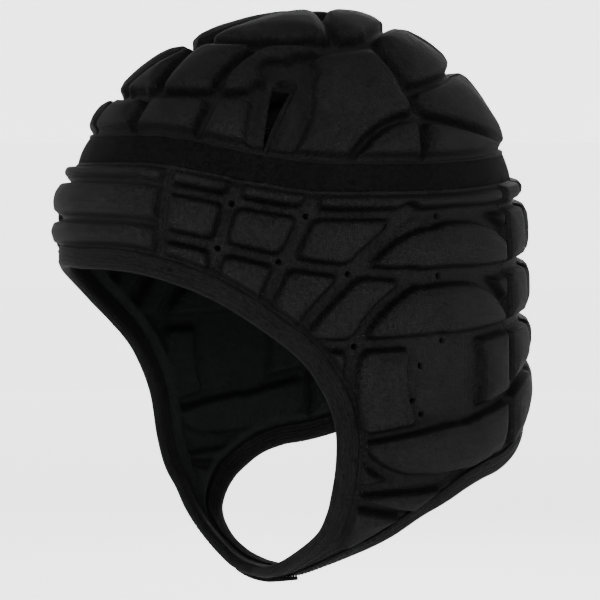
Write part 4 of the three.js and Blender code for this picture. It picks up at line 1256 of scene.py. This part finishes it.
@dataclass
class TapeBinding:
    """A folded tape sewn round an opening's hem.

    Args:
        node: the CAD node that it stands for.
        form: the head form.
        half: left half of the edge, as rows of angle and level.
        other: left half of the other opening's edge.
        side: 1 when the panel lies to the right of the line, -1 to the left.
        cover: how far the tape reaches over the hem.
        share_of_strap: the most of the strap's width that one tape covers.
        inner: height of the tape's inside above the middle surface.
        wall: thickness of the tape.
        station: distance between sections.
        step_around: distance between points of a section, for the weave.
    """

    node: str
    form: HeadForm
    half: np.ndarray
    other: np.ndarray
    side: int
    cover: float = 7.4
    share_of_strap: float = 0.36
    inner: float = 1.5
    wall: float = 1.15
    station: float = 1.6
    step_around: float = 1.3

    def _line(self) -> tuple[np.ndarray, np.ndarray, np.ndarray]:
        """Even places along the left half, the directions across, and the tape's covers."""
        form = self.form
        here = form.point(self.half[:, 0], self.half[:, 1])
        line = evenly(self.half, run_length(here), self.station)
        flat = form.flatten(Layout.STRIP, line)
        across = form.across(Layout.STRIP, flat)
        spots = form.point(line[:, 0], line[:, 1])
        room = distance_to(spots, form.point(self.other[:, 0], self.other[:, 1]))
        return flat, across, np.minimum(self.cover, self.share_of_strap * room)

    def _profile(self, cover: float) -> list[tuple[float, float]]:
        """The section as pairs of distance over the hem and height, round the fold."""
        low, high = self.inner, self.inner + self.wall
        upper = [
            (cover, low), (cover + 0.25, low + 0.5), (cover - 0.1, high - 0.12), (cover - 0.9, high - 0.02),
            (cover * 0.72, high - 0.16), (cover * 0.5, high + 0.06), (cover * 0.25, high + 0.08),
            (0.4, high), (-0.7, high - 0.45), (-1.5, 0.55 * high),
        ]
        lower = [(x, -z) for x, z in reversed(upper)]
        fold_in = [(0.3, -low), (-0.4, -0.6 * low), (-0.6, 0), (-0.4, 0.6 * low), (0.3, low)]
        return upper + [(-1.75, 0)] + lower + fold_in

    def edge_points(self, distance_share: float, height: float) -> np.ndarray:
        """Points along the left half at a share of the tape's cover.

        Args:
            distance_share: 0 at the fold, 1 at the tape's inner edge, more beyond it.
            height: height above the middle surface.

        Returns:
            Points in space, from the edge's start to the chin.
        """
        flat, across, covers = self._line()
        moved = self.form.walk(Layout.STRIP, flat, across, self.side * covers * distance_share)
        return self.form.raised(Layout.STRIP, moved, np.full(len(moved), height))

    def build(self, finish: bpy.types.Material) -> bpy.types.Object:
        """Builds the tape.

        Args:
            finish: its material.

        Returns:
            The finished object.
        """
        flat, across, covers = self._line()
        columns = [self._profile(cover) for cover in covers]
        size = len(columns[0])
        rings = np.empty((len(flat), size, 3))
        spots = self.form.point(flat[:, 0] / self.form.per_degree, -flat[:, 1])
        ripple = TAPE_RIPPLE.at(spots, 0)
        for k in range(size):
            offset = np.array([column[k][0] for column in columns])
            height = np.array([column[k][1] for column in columns])
            moved = self.form.walk(Layout.STRIP, flat, across, self.side * (offset + 0.5 * ripple))
            rings[:, k] = self.form.raised(Layout.STRIP, moved, height * (1 + 0.25 * ripple))
        rings[0, :, 0] = 0
        rings[-1, :, 0] = 0
        mirrored = rings[-2:0:-1] * [-1, 1, 1]
        whole = np.vstack([rings, mirrored])
        points = whole.reshape(-1, 3)
        faces = facing_out(points, ring_faces(len(whole), size, True))
        weave = weave_grid(run_length(whole[:, 0]), np.arange(size) * self.step_around)
        made = write_mesh(self.node + "_tape", points, faces, weave=weave)
        made.data.materials.append(finish)
        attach(made, "root")
        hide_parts(self.node)
        LOG.info("%s has %d faces", made.name, len(made.data.polygons))
        return made


@dataclass
class StitchRows:
    """Rows of machine stitches, one thread shape copied along lines.

    Args:
        name: name of the object that they make.
        length: length of a stitch.
        pitch: distance from one stitch to the next.
        thickness: thickness of the thread.
    """

    name: str
    length: float = 2.1
    pitch: float = 3.0
    thickness: float = 0.42

    def _thread(self) -> tuple[np.ndarray, list]:
        """One stitch along X, as points and faces."""
        bpy.ops.object.select_all(action="DESELECT")
        bpy.ops.mesh.primitive_uv_sphere_add(segments=6, ring_count=6, radius=0.5)
        sample = bpy.context.active_object
        points = np.array([tuple(corner.co) for corner in sample.data.vertices])
        faces = [tuple(face.vertices) for face in sample.data.polygons]
        mesh = sample.data
        bpy.data.objects.remove(sample)
        bpy.data.meshes.remove(mesh)
        blunt = np.sign(points[:, 2]) * np.abs(points[:, 2] * 2) ** 0.6 / 2
        wide, high = points[:, 0] * self.thickness * 1.3, points[:, 1] * self.thickness
        return np.stack([blunt * self.length, wide, high], -1), faces

    def build(self, lines: Sequence[tuple[np.ndarray, np.ndarray]], finish: bpy.types.Material) -> None:
        """Builds all rows as one object.

        Args:
            lines: for each row its points and the outward directions there.
            finish: the thread's material.
        """
        thread, pattern = self._thread()
        points, faces = [], []
        for line, outward in lines:
            distance = run_length(line)
            both = evenly(np.hstack([line, outward]), distance, self.pitch)
            spots, normals = both[:, :3], unit(both[:, 3:])
            ahead = unit(np.gradient(spots, axis=0))
            for spot, forward, up in zip(spots[1:-1], ahead[1:-1], normals[1:-1]):
                side = np.cross(up, forward)
                turned = thread[:, :1] * forward + thread[:, 1:2] * side + thread[:, 2:] * up
                base = len(points) * len(thread)
                points.append(turned + spot)
                faces += [tuple(corner + base for corner in face) for face in pattern]
        made = write_mesh(self.name, np.vstack(points), faces)
        made.data.materials.append(finish)
        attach(made, "root")
        LOG.info("%s has %d stitches", self.name, len(points))


@dataclass
class VelvetBand:
    """The soft band between the crown and the wrap.

    Args:
        form: the head form.
        half_thickness: half of the band's thickness.
        swell: how far its middle stands out.
        tuck: how far its edges reach under the panels.
        around: points round the head.
        rows: points across each face.
        inside_shift: shift of the inside's weave from the outside's.
    """

    form: HeadForm
    half_thickness: float = 1.35
    swell: float = 0.5
    tuck: float = 0.1
    around: int = 640
    rows: int = 16
    inside_shift: float = 20.0

    def build(self, finish: bpy.types.Material) -> None:
        """Builds the band.

        Args:
            finish: its material.
        """
        form = self.form
        angles = np.linspace(-180, 180, self.around + 1)[:-1]
        shares = np.linspace(0, 1, self.rows)
        levels = form.crown_skirt - self.tuck + shares * (form.band_width + 2 * self.tuck)
        rings = []
        for side in (1, -1):
            for share, level in zip(shares[::side], levels[::side]):
                places = np.stack([angles, np.full(len(angles), level)], axis=-1)
                flat = form.flatten(Layout.STRIP, places)
                middle = form.spot(Layout.STRIP, flat)
                pile = PILE_TUFTS.at(middle, 0) + PILE_FIBRES.at(middle, 0)
                height = self.half_thickness + self.swell * math.sin(math.pi * share) ** 0.7
                rise = side * height + (pile if side > 0 else 0)
                rings.append(form.raised(Layout.STRIP, flat, rise + np.zeros(len(flat))))
        stacked = np.stack(rings, axis=1)
        points = stacked.reshape(-1, 3)
        faces = facing_out(points, ring_faces(self.around, 2 * self.rows, True))
        along = np.arange(self.around) * form.per_degree * 360 / self.around
        across = np.concatenate([levels, levels[::-1] + self.inside_shift])
        weave = weave_grid(along, across)
        made = write_mesh("crown_band_velvet", points, faces, weave=weave)
        made.data.materials.append(finish)
        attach(made, "root")
        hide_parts("crown_band")
        LOG.info("%s has %d faces", made.name, len(made.data.polygons))


@dataclass
class Piping:
    """A thin rolled edge sewn along a line.

    Args:
        name: name of the object.
        radius: radius of the roll.
        sides: points round its section.
        end_taper: share of the radius at an open end.
    """

    name: str
    radius: float = 0.6
    sides: int = 10
    end_taper: float = 0.35

    def build(self, line: np.ndarray, outward: np.ndarray, loop: bool, finish: bpy.types.Material) -> None:
        """Builds the roll.

        Args:
            line: points along its middle.
            outward: outward directions at the points.
            loop: whether it closes on itself.
            finish: its material.
        """
        if loop:
            ahead = unit(np.roll(line, -1, axis=0) - np.roll(line, 1, axis=0))
        else:
            ahead = unit(np.gradient(line, axis=0))
        aside = unit(np.cross(outward, ahead))
        up = np.cross(ahead, aside)
        turn = np.arange(self.sides) * math.tau / self.sides
        taper = np.ones(len(line))
        if not loop:
            taper[0], taper[-1] = self.end_taper, self.end_taper
        wobble = 1 + PIPING_WOBBLE.at(line, 0)
        round_off = (taper * wobble * self.radius)[:, None, None]
        cosine, sine = np.cos(turn)[None, :, None], np.sin(turn)[None, :, None]
        circle = cosine * aside[:, None, :] + sine * up[:, None, :]
        points = (line[:, None, :] + circle * round_off).reshape(-1, 3)
        faces = facing_out(points, ring_faces(len(line), self.sides, loop))
        distance = run_length(line)
        weave = weave_grid(distance, turn * self.radius)
        made = write_mesh(self.name, points, faces, weave=weave)
        made.data.materials.append(finish)
        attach(made, "root")
        LOG.info("%s is %.0f mm long", self.name, distance[-1])


@dataclass
class ChinTab:
    """The hook-and-loop tab that holds the two straps together under the chin.

    Args:
        form: the head form.
        length: length across the middle.
        width: width along the strap's width.
        low: height of its underside above the middle surface.
        thickness: thickness of the tab.
        step_around: distance between points of a section, for the weave.
        steps: sections from an end to the middle.
        columns: points across each face.
        flat_share: share of the half width where the edge starts to round.
    """

    form: HeadForm
    length: float = 40.0
    width: float = 10.0
    low: float = 2.9
    thickness: float = 1.8
    step_around: float = 1.1
    steps: int = 26
    columns: int = 10
    flat_share: float = 0.92

    def build(self, finish: bpy.types.Material) -> None:
        """Builds the tab.

        Args:
            finish: its material.
        """
        form = self.form
        angle = (FACE_EDGE[-1].angle + NECK_EDGE[-1].angle) / 2
        shares = np.linspace(0, 1, self.steps + 1)
        levels = form.chin_level - self.length / 2 * (1 - shares)
        places = np.stack([np.full(len(levels), angle), levels], axis=-1)
        flat = form.flatten(Layout.STRIP, places)
        across = form.across(Layout.STRIP, flat)
        ends = np.minimum(1, np.sqrt(np.clip(1 - (1 - np.clip(shares * 8, 0, 1)) ** 2, 0.12, 1)))
        across_top = np.linspace(-self.flat_share, self.flat_share, self.columns)
        top = [(x, self.low + self.thickness) for x in across_top]
        bottom = [(x, self.low) for x in across_top[::-1]]
        middle = self.low + self.thickness / 2
        section = top + [(1.0, middle)] + bottom + [(-1.0, middle)]
        rings = np.empty((len(flat), len(section), 3))
        for k, (aside, height) in enumerate(section):
            offset = aside * self.width / 2 * ends
            moved = form.walk(Layout.STRIP, flat, across, offset)
            level = middle + (height - middle) * (0.5 + 0.5 * ends)
            rings[:, k] = form.raised(Layout.STRIP, moved, level)
        rings[-1, :, 0] = 0
        whole = np.vstack([rings, rings[-2::-1] * [-1, 1, 1]])
        points = whole.reshape(-1, 3)
        faces = facing_out(points, ring_faces(len(whole), len(section), False))
        along = np.arange(len(whole)) * self.length / len(whole)
        weave = weave_grid(along, np.arange(len(section)) * self.step_around)
        made = write_mesh("chin_tab_velvet", points, faces, weave=weave)
        made.data.materials.append(finish)
        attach(made, "root")
        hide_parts("chin_tab")
        LOG.info("%s has %d faces", made.name, len(made.data.polygons))


class Nodes:
    """Short helpers over one node tree."""

    def __init__(self, tree: bpy.types.NodeTree) -> None:
        """Keeps the tree."""
        self.tree = tree

    def add(self, kind: str, **settings: object) -> bpy.types.Node:
        """Adds a node.

        Args:
            kind: the node's type name.
            settings: its properties.

        Returns:
            The new node.
        """
        node = self.tree.nodes.new(kind)
        for key, value in settings.items():
            setattr(node, key, value)
        return node

    def link(self, source: bpy.types.NodeSocket, target: bpy.types.NodeSocket) -> None:
        """Links two sockets."""
        self.tree.links.new(source, target)

    def noise(
        self, vector: bpy.types.NodeSocket, scale: float, detail: float, rough: float = 0.5
    ) -> bpy.types.NodeSocket:
        """Soft noise over a vector, from 0 to 1."""
        node = self.add("ShaderNodeTexNoise")
        self.link(vector, node.inputs["Vector"])
        for key, value in (("Scale", scale), ("Detail", detail), ("Roughness", rough)):
            node.inputs[key].default_value = value
        return node.outputs["Fac"]

    def wave(
        self, vector: bpy.types.NodeSocket, direction: str, scale: float, distortion: float
    ) -> bpy.types.NodeSocket:
        """Bands across one direction of a vector, from 0 to 1."""
        node = self.add("ShaderNodeTexWave", bands_direction=direction)
        self.link(vector, node.inputs["Vector"])
        for key, value in (("Scale", scale), ("Distortion", distortion)):
            node.inputs[key].default_value = value
        return node.outputs["Fac"]

    def math(self, operation: str, first: object, second: object = 0.0) -> bpy.types.NodeSocket:
        """A sum, product or other operation on two numbers or sockets."""
        node = self.add("ShaderNodeMath", operation=operation)
        for socket, value in zip(node.inputs, (first, second)):
            if isinstance(value, bpy.types.NodeSocket):
                self.link(value, socket)
            else:
                socket.default_value = value
        return node.outputs[0]

    def blend(self, share: bpy.types.NodeSocket, low: tuple, high: tuple) -> bpy.types.NodeSocket:
        """A colour between two, by a share from 0 to 1."""
        node = self.add("ShaderNodeMix", data_type="RGBA")
        self.link(share, node.inputs["Factor"])
        node.inputs["A"].default_value = (*low, 1)
        node.inputs["B"].default_value = (*high, 1)
        return node.outputs["Result"]

    def between(self, value: bpy.types.NodeSocket, low: float, high: float) -> bpy.types.NodeSocket:
        """A value from 0 to 1 spread over a range."""
        node = self.add("ShaderNodeMapRange")
        self.link(value, node.inputs["Value"])
        node.inputs["To Min"].default_value = low
        node.inputs["To Max"].default_value = high
        return node.outputs["Result"]


class ClothPattern(Enum):
    """Patterns of the cap's cloths."""

    KNIT = "fine stretch knit"
    PILE = "short velvet pile"
    RIB = "woven tape rib"


def cloth_group(pattern: ClothPattern) -> bpy.types.NodeTree:
    """A node group that gives a cloth's height and its mottling.

    Args:
        pattern: which cloth.

    Returns:
        A group with the outputs Height and Mottle.
    """
    name = "cloth_" + pattern.name.lower()
    if name in bpy.data.node_groups:
        return bpy.data.node_groups[name]
    tree = bpy.data.node_groups.new(name, "ShaderNodeTree")
    tree.interface.new_socket("Height", in_out="OUTPUT", socket_type="NodeSocketFloat")
    tree.interface.new_socket("Mottle", in_out="OUTPUT", socket_type="NodeSocketFloat")
    nodes = Nodes(tree)
    out = nodes.add("NodeGroupOutput")
    weave = nodes.add("ShaderNodeUVMap", uv_map="weave").outputs["UV"]
    place = nodes.add("ShaderNodeTexCoord").outputs["Object"]
    if pattern is ClothPattern.KNIT:
        wale = nodes.wave(weave, "X", scale=340, distortion=0.7)
        course = nodes.wave(weave, "Y", scale=420, distortion=0.7)
        threads = nodes.math("MULTIPLY", wale, course)
    elif pattern is ClothPattern.PILE:
        threads = nodes.noise(place, scale=1500, detail=3, rough=0.7)
    else:
        threads = nodes.wave(weave, "Y", scale=240, distortion=7)
    grain = nodes.noise(place, scale=620, detail=2)
    fine = nodes.between(grain, -1.1, 2.1)
    wide = nodes.between(nodes.noise(place, scale=55, detail=5), -0.4, 1.4)
    height = nodes.math("ADD", threads, nodes.math("MULTIPLY", grain, 0.8))
    both = (nodes.math("MULTIPLY", fine, 0.6), nodes.math("MULTIPLY", wide, 0.4))
    nodes.link(height, out.inputs["Height"])
    nodes.link(nodes.math("ADD", *both), out.inputs["Mottle"])
    return tree


@dataclass(frozen=True)
class ClothFinish:
    """A black cloth.

    Args:
        name: the material's name.
        pattern: the cloth's pattern.
        dark: base colour where it is darkest.
        light: base colour where it is lightest.
        rough: lowest and highest roughness.
        sheen: weight of the soft fibre sheen.
        sheen_rough: roughness of the sheen.
        bump: height of the threads, in metres.
        paints_shade: whether the panel's painted shade, in its creases and vent pits, darkens the colour.
    """

    name: str
    pattern: ClothPattern
    dark: tuple[float, float, float]
    light: tuple[float, float, float]
    rough: tuple[float, float]
    sheen: float
    sheen_rough: float
    bump: float
    paints_shade: bool = False

    def make(self) -> bpy.types.Material:
        """The material."""
        material = bpy.data.materials.new(self.name)
        material.use_nodes = True
        nodes = Nodes(material.node_tree)
        shader = material.node_tree.nodes["Principled BSDF"]
        cloth = nodes.add("ShaderNodeGroup", node_tree=cloth_group(self.pattern))
        height, mottle = cloth.outputs["Height"], cloth.outputs["Mottle"]
        shade = nodes.math("ADD", nodes.math("MULTIPLY", height, 0.2), nodes.math("MULTIPLY", mottle, 0.7))
        colour = nodes.blend(shade, self.dark, self.light)
        # painted shade: the crease shade and the vents' pits darken the base colour
        if self.paints_shade:
            pit = nodes.add("ShaderNodeAttribute", attribute_name="pit")
            painted_crease_shade = nodes.add("ShaderNodeAttribute", attribute_name="painted_crease_shade")
            # painted shade: the vents' pits are darkened almost to black
            keep = nodes.math("SUBTRACT", 1.0, nodes.math("MULTIPLY", pit.outputs["Fac"], 0.93))
            crease_shade_factor = nodes.math("SUBTRACT", 1.0, nodes.math("MULTIPLY", painted_crease_shade.outputs["Fac"], 0.88))
            both = nodes.math("MULTIPLY", keep, crease_shade_factor)
            painted_shade_mix = nodes.add("ShaderNodeMix", data_type="RGBA", blend_type="MULTIPLY")
            painted_shade_mix.inputs["Factor"].default_value = 1
            grey = nodes.add("ShaderNodeCombineColor")
            for key in ("Red", "Green", "Blue"):
                nodes.link(both, grey.inputs[key])
            nodes.link(colour, painted_shade_mix.inputs["A"])
            nodes.link(grey.outputs["Color"], painted_shade_mix.inputs["B"])
            colour = painted_shade_mix.outputs["Result"]
        nodes.link(colour, shader.inputs["Base Color"])
        nodes.link(nodes.between(mottle, *self.rough), shader.inputs["Roughness"])
        shader.inputs["Specular IOR Level"].default_value = 0.02
        shader.inputs["Sheen Weight"].default_value = self.sheen
        shader.inputs["Sheen Roughness"].default_value = self.sheen_rough
        bump = nodes.add("ShaderNodeBump")
        bump.inputs["Strength"].default_value = 0.6
        bump.inputs["Distance"].default_value = self.bump
        nodes.link(height, bump.inputs["Height"])
        nodes.link(bump.outputs["Normal"], shader.inputs["Normal"])
        return material


KNIT = ClothFinish(
    name="knit", pattern=ClothPattern.KNIT,
    dark=(0.0012, 0.0012, 0.0012), light=(0.0068, 0.0068, 0.0069),
    rough=(0.66, 0.82), sheen=0.003, sheen_rough=0.4, bump=0.0003, paints_shade=True,
)
LINING = ClothFinish(
    name="lining", pattern=ClothPattern.KNIT,
    dark=(0.0011, 0.0012, 0.0012), light=(0.0048, 0.0052, 0.0051),
    rough=(0.75, 0.9), sheen=0.004, sheen_rough=0.5, bump=0.0002, paints_shade=True,
)
VELVET = ClothFinish(
    name="velvet", pattern=ClothPattern.PILE,
    dark=(0.0001, 0.0001, 0.0001), light=(0.0027, 0.0027, 0.0028),
    rough=(0.85, 1.0), sheen=0.003, sheen_rough=0.3, bump=0.0008,
)
TAPE = ClothFinish(
    name="tape", pattern=ClothPattern.RIB,
    dark=(0.0003, 0.0003, 0.0003), light=(0.0042, 0.0042, 0.0043),
    rough=(0.7, 0.85), sheen=0.002, sheen_rough=0.45, bump=0.0003,
)
THREAD = ClothFinish(
    name="thread", pattern=ClothPattern.PILE,
    dark=(0.002, 0.002, 0.002), light=(0.0065, 0.0065, 0.0068),
    rough=(0.65, 0.8), sheen=0.003, sheen_rough=0.4, bump=0.0001,
)


class Lamp(NamedTuple):
    """A soft square light, placed from the camera's target.

    Args:
        name: its name.
        aside: distance to the camera's right, in metres.
        above: distance up, in metres.
        nearer: distance towards the camera, in metres.
        size: side of the square, in metres.
        power: its power in watts.
    """

    name: str
    aside: float
    above: float
    nearer: float
    size: float
    power: float


LAMPS = (
    Lamp("key", -0.25, 0.3, 1.5, 0.6, 26.0),
    Lamp("left", -1.3, 0.4, 0.5, 0.6, 7.0),
    Lamp("right", 1.3, 0.3, 0.3, 0.6, 7.0),
    Lamp("back", 0.2, 0.6, -1.4, 0.7, 12.0),
    Lamp("top", -0.1, 1.3, 0.5, 0.6, 7.0),
)
# Steps of the room's bowl from its floor to its wall: outward and up, in metres
ROOM_STEPS = ((1.6, 0.0), (1.0, 0.05), (0.3, 0.15), (0.2, 0.25), (0.1, 0.4), (0.03, 1.6))
ROOM_START = 0.2


@dataclass
class Studio:
    """A pale bowl of a studio, soft lights and the photograph's camera.

    Args:
        azimuth: the camera's turn from straight ahead of the wearer, in degrees.
        elevation: its height above the horizon, in degrees.
        distance: its distance from the target, in metres.
        target: the point it looks at, in metres.
        lens: focal length in millimetres, on a sensor 36 mm wide.
        floor: height of the floor, in metres.
    """

    azimuth: float = 56.0
    elevation: float = 3.2
    distance: float = 1.1
    target: tuple[float, float, float] = (0.0, -0.007, -0.120)
    lens: float = 145.2
    floor: float = -0.47

    def _frame(self) -> tuple[Vector, Vector, Vector]:
        """The camera's right, up and backward directions."""
        a, e = math.radians(self.azimuth), math.radians(self.elevation)
        back = Vector((math.sin(a) * math.cos(e), -math.cos(a) * math.cos(e), math.sin(e)))
        right = Vector((math.cos(a), math.sin(a), 0))
        return right, back.cross(right), back

    def build_camera(self) -> None:
        """Adds the camera."""
        right, up, back = self._frame()
        data = bpy.data.cameras.new("photo_camera")
        data.lens, data.sensor_width = self.lens, 36
        data.clip_start, data.clip_end = 0.05, 30
        camera = bpy.data.objects.new("photo_camera", data)
        turn = Matrix((right, up, back)).transposed().to_4x4()
        camera.matrix_world = Matrix.Translation(Vector(self.target) + back * self.distance) @ turn
        bpy.context.scene.collection.objects.link(camera)
        bpy.context.scene.camera = camera

    def build_room(self) -> None:
        """Adds the floor that rises into a wall all round."""
        bpy.ops.object.select_all(action="DESELECT")
        bpy.ops.mesh.primitive_circle_add(
            vertices=96, radius=ROOM_START, fill_type="NGON", location=(0, 0, self.floor)
        )
        room = bpy.context.active_object
        room.name = "room"
        bpy.ops.object.mode_set(mode="EDIT")
        bpy.ops.mesh.select_all(action="SELECT")
        radius = ROOM_START
        for outward, rise in ROOM_STEPS:
            bpy.ops.mesh.extrude_region_move(TRANSFORM_OT_translate={"value": (0, 0, rise)})
            growth = (radius + outward) / radius
            bpy.ops.transform.resize(value=(growth, growth, 1), center_override=(0, 0, 0))
            radius += outward
        bpy.ops.mesh.delete(type="ONLY_FACE")
        bpy.ops.object.mode_set(mode="OBJECT")
        room.data.materials.append(self._paper())

    @staticmethod
    def _paper() -> bpy.types.Material:
        """The room's pale matt finish."""
        material = bpy.data.materials.new("pale_paper")
        material.use_nodes = True
        shader = material.node_tree.nodes["Principled BSDF"]
        shader.inputs["Base Color"].default_value = (0.9, 0.9, 0.9, 1)
        shader.inputs["Roughness"].default_value = 0.9
        shader.inputs["Emission Color"].default_value = (1, 1, 1, 1)
        shader.inputs["Emission Strength"].default_value = 1.5
        return material

    def build_lights(self) -> None:
        """Adds the soft lights and the pale world."""
        right, up, back = self._frame()
        aim = Vector(self.target)
        for lamp in LAMPS:
            data = bpy.data.lights.new(lamp.name, "AREA")
            data.shape, data.size, data.energy = "SQUARE", lamp.size, lamp.power
            light = bpy.data.objects.new(lamp.name, data)
            light.location = aim + right * lamp.aside + up * lamp.above + back * lamp.nearer
            light.rotation_euler = (light.location - aim).to_track_quat("Z", "Y").to_euler()
            bpy.context.scene.collection.objects.link(light)
        world = bpy.data.worlds.new("studio")
        bpy.context.scene.world = world
        world.use_nodes = True
        world.node_tree.nodes["Background"].inputs["Color"].default_value = (1, 1, 1, 1)
        world.node_tree.nodes["Background"].inputs["Strength"].default_value = 0.25


# Stitch rows of a tape: share of its cover and height. The third lies on the hem beside it.
BINDING_ROWS = ((0.78, 2.75), (0.2, 2.75), (1.5, 1.75))
CHIN_SEAM_CLEARANCE = 5.0
SEAM_ROW_ASIDE = 0.55
SEAM_ROW_HEIGHT = 1.5


@dataclass
class Trims:
    """Tapes, stitches, piping, band and tab over the padded panels.

    Args:
        form: the head form.
        quilting: the padded panels.
        row_height: height of the stitches and the rim's piping over the middle surface.
        row_places: number of places on a row down a seam.
        band_row_places: number of places on the row along the band.
        rim_places: number of places on the rim's piping.
        slit_height: height of the slits' piping over the middle surface.
        slit_aside: degrees by which it stands off the slit's edge.
        slit_shares: where it starts and ends, as shares of the slit.
    """

    form: HeadForm
    quilting: Quilting
    row_height: float = 1.55
    row_places: int = 60
    band_row_places: int = 500
    rim_places: int = 480
    slit_height: float = 1.9
    slit_aside: float = 0.5
    slit_shares: tuple[float, float] = (-0.03, 1.12)

    def build(self, velvet: bpy.types.Material, tape: bpy.types.Material, thread: bpy.types.Material) -> None:
        """Builds every trim.

        Args:
            velvet: material of the band and the tab.
            tape: material of the tapes and the piping.
            thread: material of the stitches.
        """
        face, neck = self.quilting.face_line(), self.quilting.neck_line()
        limit = self.form.chin_level - 0.02
        for line in (face, neck):
            line[:, 1] = np.minimum(line[:, 1], limit)
        for node, half, other, side in (
            ("face_binding", face, neck, -1), ("neck_binding", neck, face, 1),
        ):
            binding = TapeBinding(node, self.form, half, other, side)
            binding.build(tape)
            self._stitch_binding(binding, thread)
        VelvetBand(self.form).build(velvet)
        ChinTab(self.form).build(velvet)
        self._pipe_rim(tape)
        self._pipe_slits(tape)
        self._stitch_seams(thread)

    def _stitch_binding(self, binding: TapeBinding, thread: bpy.types.Material) -> None:
        """Two rows of stitches on a tape and one on the hem beside it."""
        rows = []
        for share, height in BINDING_ROWS:
            left = binding.edge_points(share, height)
            low = binding.edge_points(share, height - 1)
            outward = unit(left - low)
            away = left[:, 0] > CHIN_SEAM_CLEARANCE
            left, outward = left[away], outward[away]
            rows.append((left, outward))
            rows.append((left[::-1] * [-1, 1, 1], outward[::-1] * [-1, 1, 1]))
        StitchRows(binding.node + "_stitches").build(rows, thread)

    def _stitch_seams(self, thread: bpy.types.Material) -> None:
        """Rows of stitches beside the seams of the wrap and along the band."""
        form = self.form
        rows = []
        face, neck = self.quilting.face_line(), self.quilting.neck_line()
        bottoms = (
            (BROW_SEAM, float(np.interp(BROW_SEAM, face[:60, 0], face[:60, 1])) - 8),
            (NAPE_SEAM, float(np.interp(-NAPE_SEAM, -neck[:120, 0], neck[:120, 1])) - 8),
        )
        for angle, bottom in bottoms:
            for aside in (-SEAM_ROW_ASIDE, SEAM_ROW_ASIDE):
                for sign in (1, -1):
                    levels = np.linspace(form.band_bottom + 2, bottom, self.row_places)
                    angles = np.full(self.row_places, sign * (angle + aside))
                    rows.append(self._row(angles, levels, SEAM_ROW_HEIGHT))
        angles = np.linspace(-180, 180, self.band_row_places)
        levels = np.full(self.band_row_places, form.band_bottom + 1.3)
        rows.append(self._row(angles, levels, self.row_height))
        StitchRows("seam_stitches").build(rows, thread)

    def _row(self, angles: np.ndarray, levels: np.ndarray, height: float) -> tuple[np.ndarray, np.ndarray]:
        """Points and outward directions of a row over places of the wrap."""
        places = np.stack([angles, levels], axis=-1)
        flat = self.form.flatten(Layout.STRIP, places)
        normal = self.form.steps(Layout.STRIP, flat)[2]
        return self.form.spot(Layout.STRIP, flat) + normal * height, normal

    def _pipe_rim(self, tape: bpy.types.Material) -> None:
        """The rolled edge where the crown meets the band."""
        angles = np.linspace(-180, 180, self.rim_places + 1)[:-1]
        levels = np.full(self.rim_places, self.form.crown_skirt + 0.4)
        line, outward = self._row(angles, levels, self.row_height)
        Piping("crown_rim_piping", radius=0.6).build(line, outward, True, tape)

    def _pipe_slits(self, tape: bpy.types.Material) -> None:
        """The rolled edges along the rear of both slits."""
        form = self.form
        start, end = SLIT[1], SLIT[2]
        shares = np.linspace(*self.slit_shares, self.row_places)
        for side, name in ((1, "left"), (-1, "right")):
            angles = side * (start.angle + (end.angle - start.angle) * shares + self.slit_aside)
            levels = form.crown_level(1) * (start.share + (end.share - start.share) * shares)
            levels = np.minimum(levels, form.crown_skirt)
            flat = form.flatten(Layout.DISC, np.stack([angles, levels], axis=-1))
            normal = form.steps(Layout.DISC, flat)[2]
            line = form.spot(Layout.DISC, flat) + normal * self.slit_height
            Piping("slit_piping_" + name, radius=0.7).build(line, normal, False, tape)


def main() -> None:
    """Builds the studio and the cap's pieces in order."""
    logging.basicConfig(level=logging.INFO, format="%(name)s: %(message)s")
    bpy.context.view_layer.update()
    studio = Studio()
    studio.build_camera()
    studio.build_room()
    studio.build_lights()
    form = HeadForm()
    quilting = Quilting(form)
    quilting.build(KNIT.make(), LINING.make())
    Trims(form, quilting).build(VELVET.make(), TAPE.make(), THREAD.make())


if __name__ == "__main__":
    main()
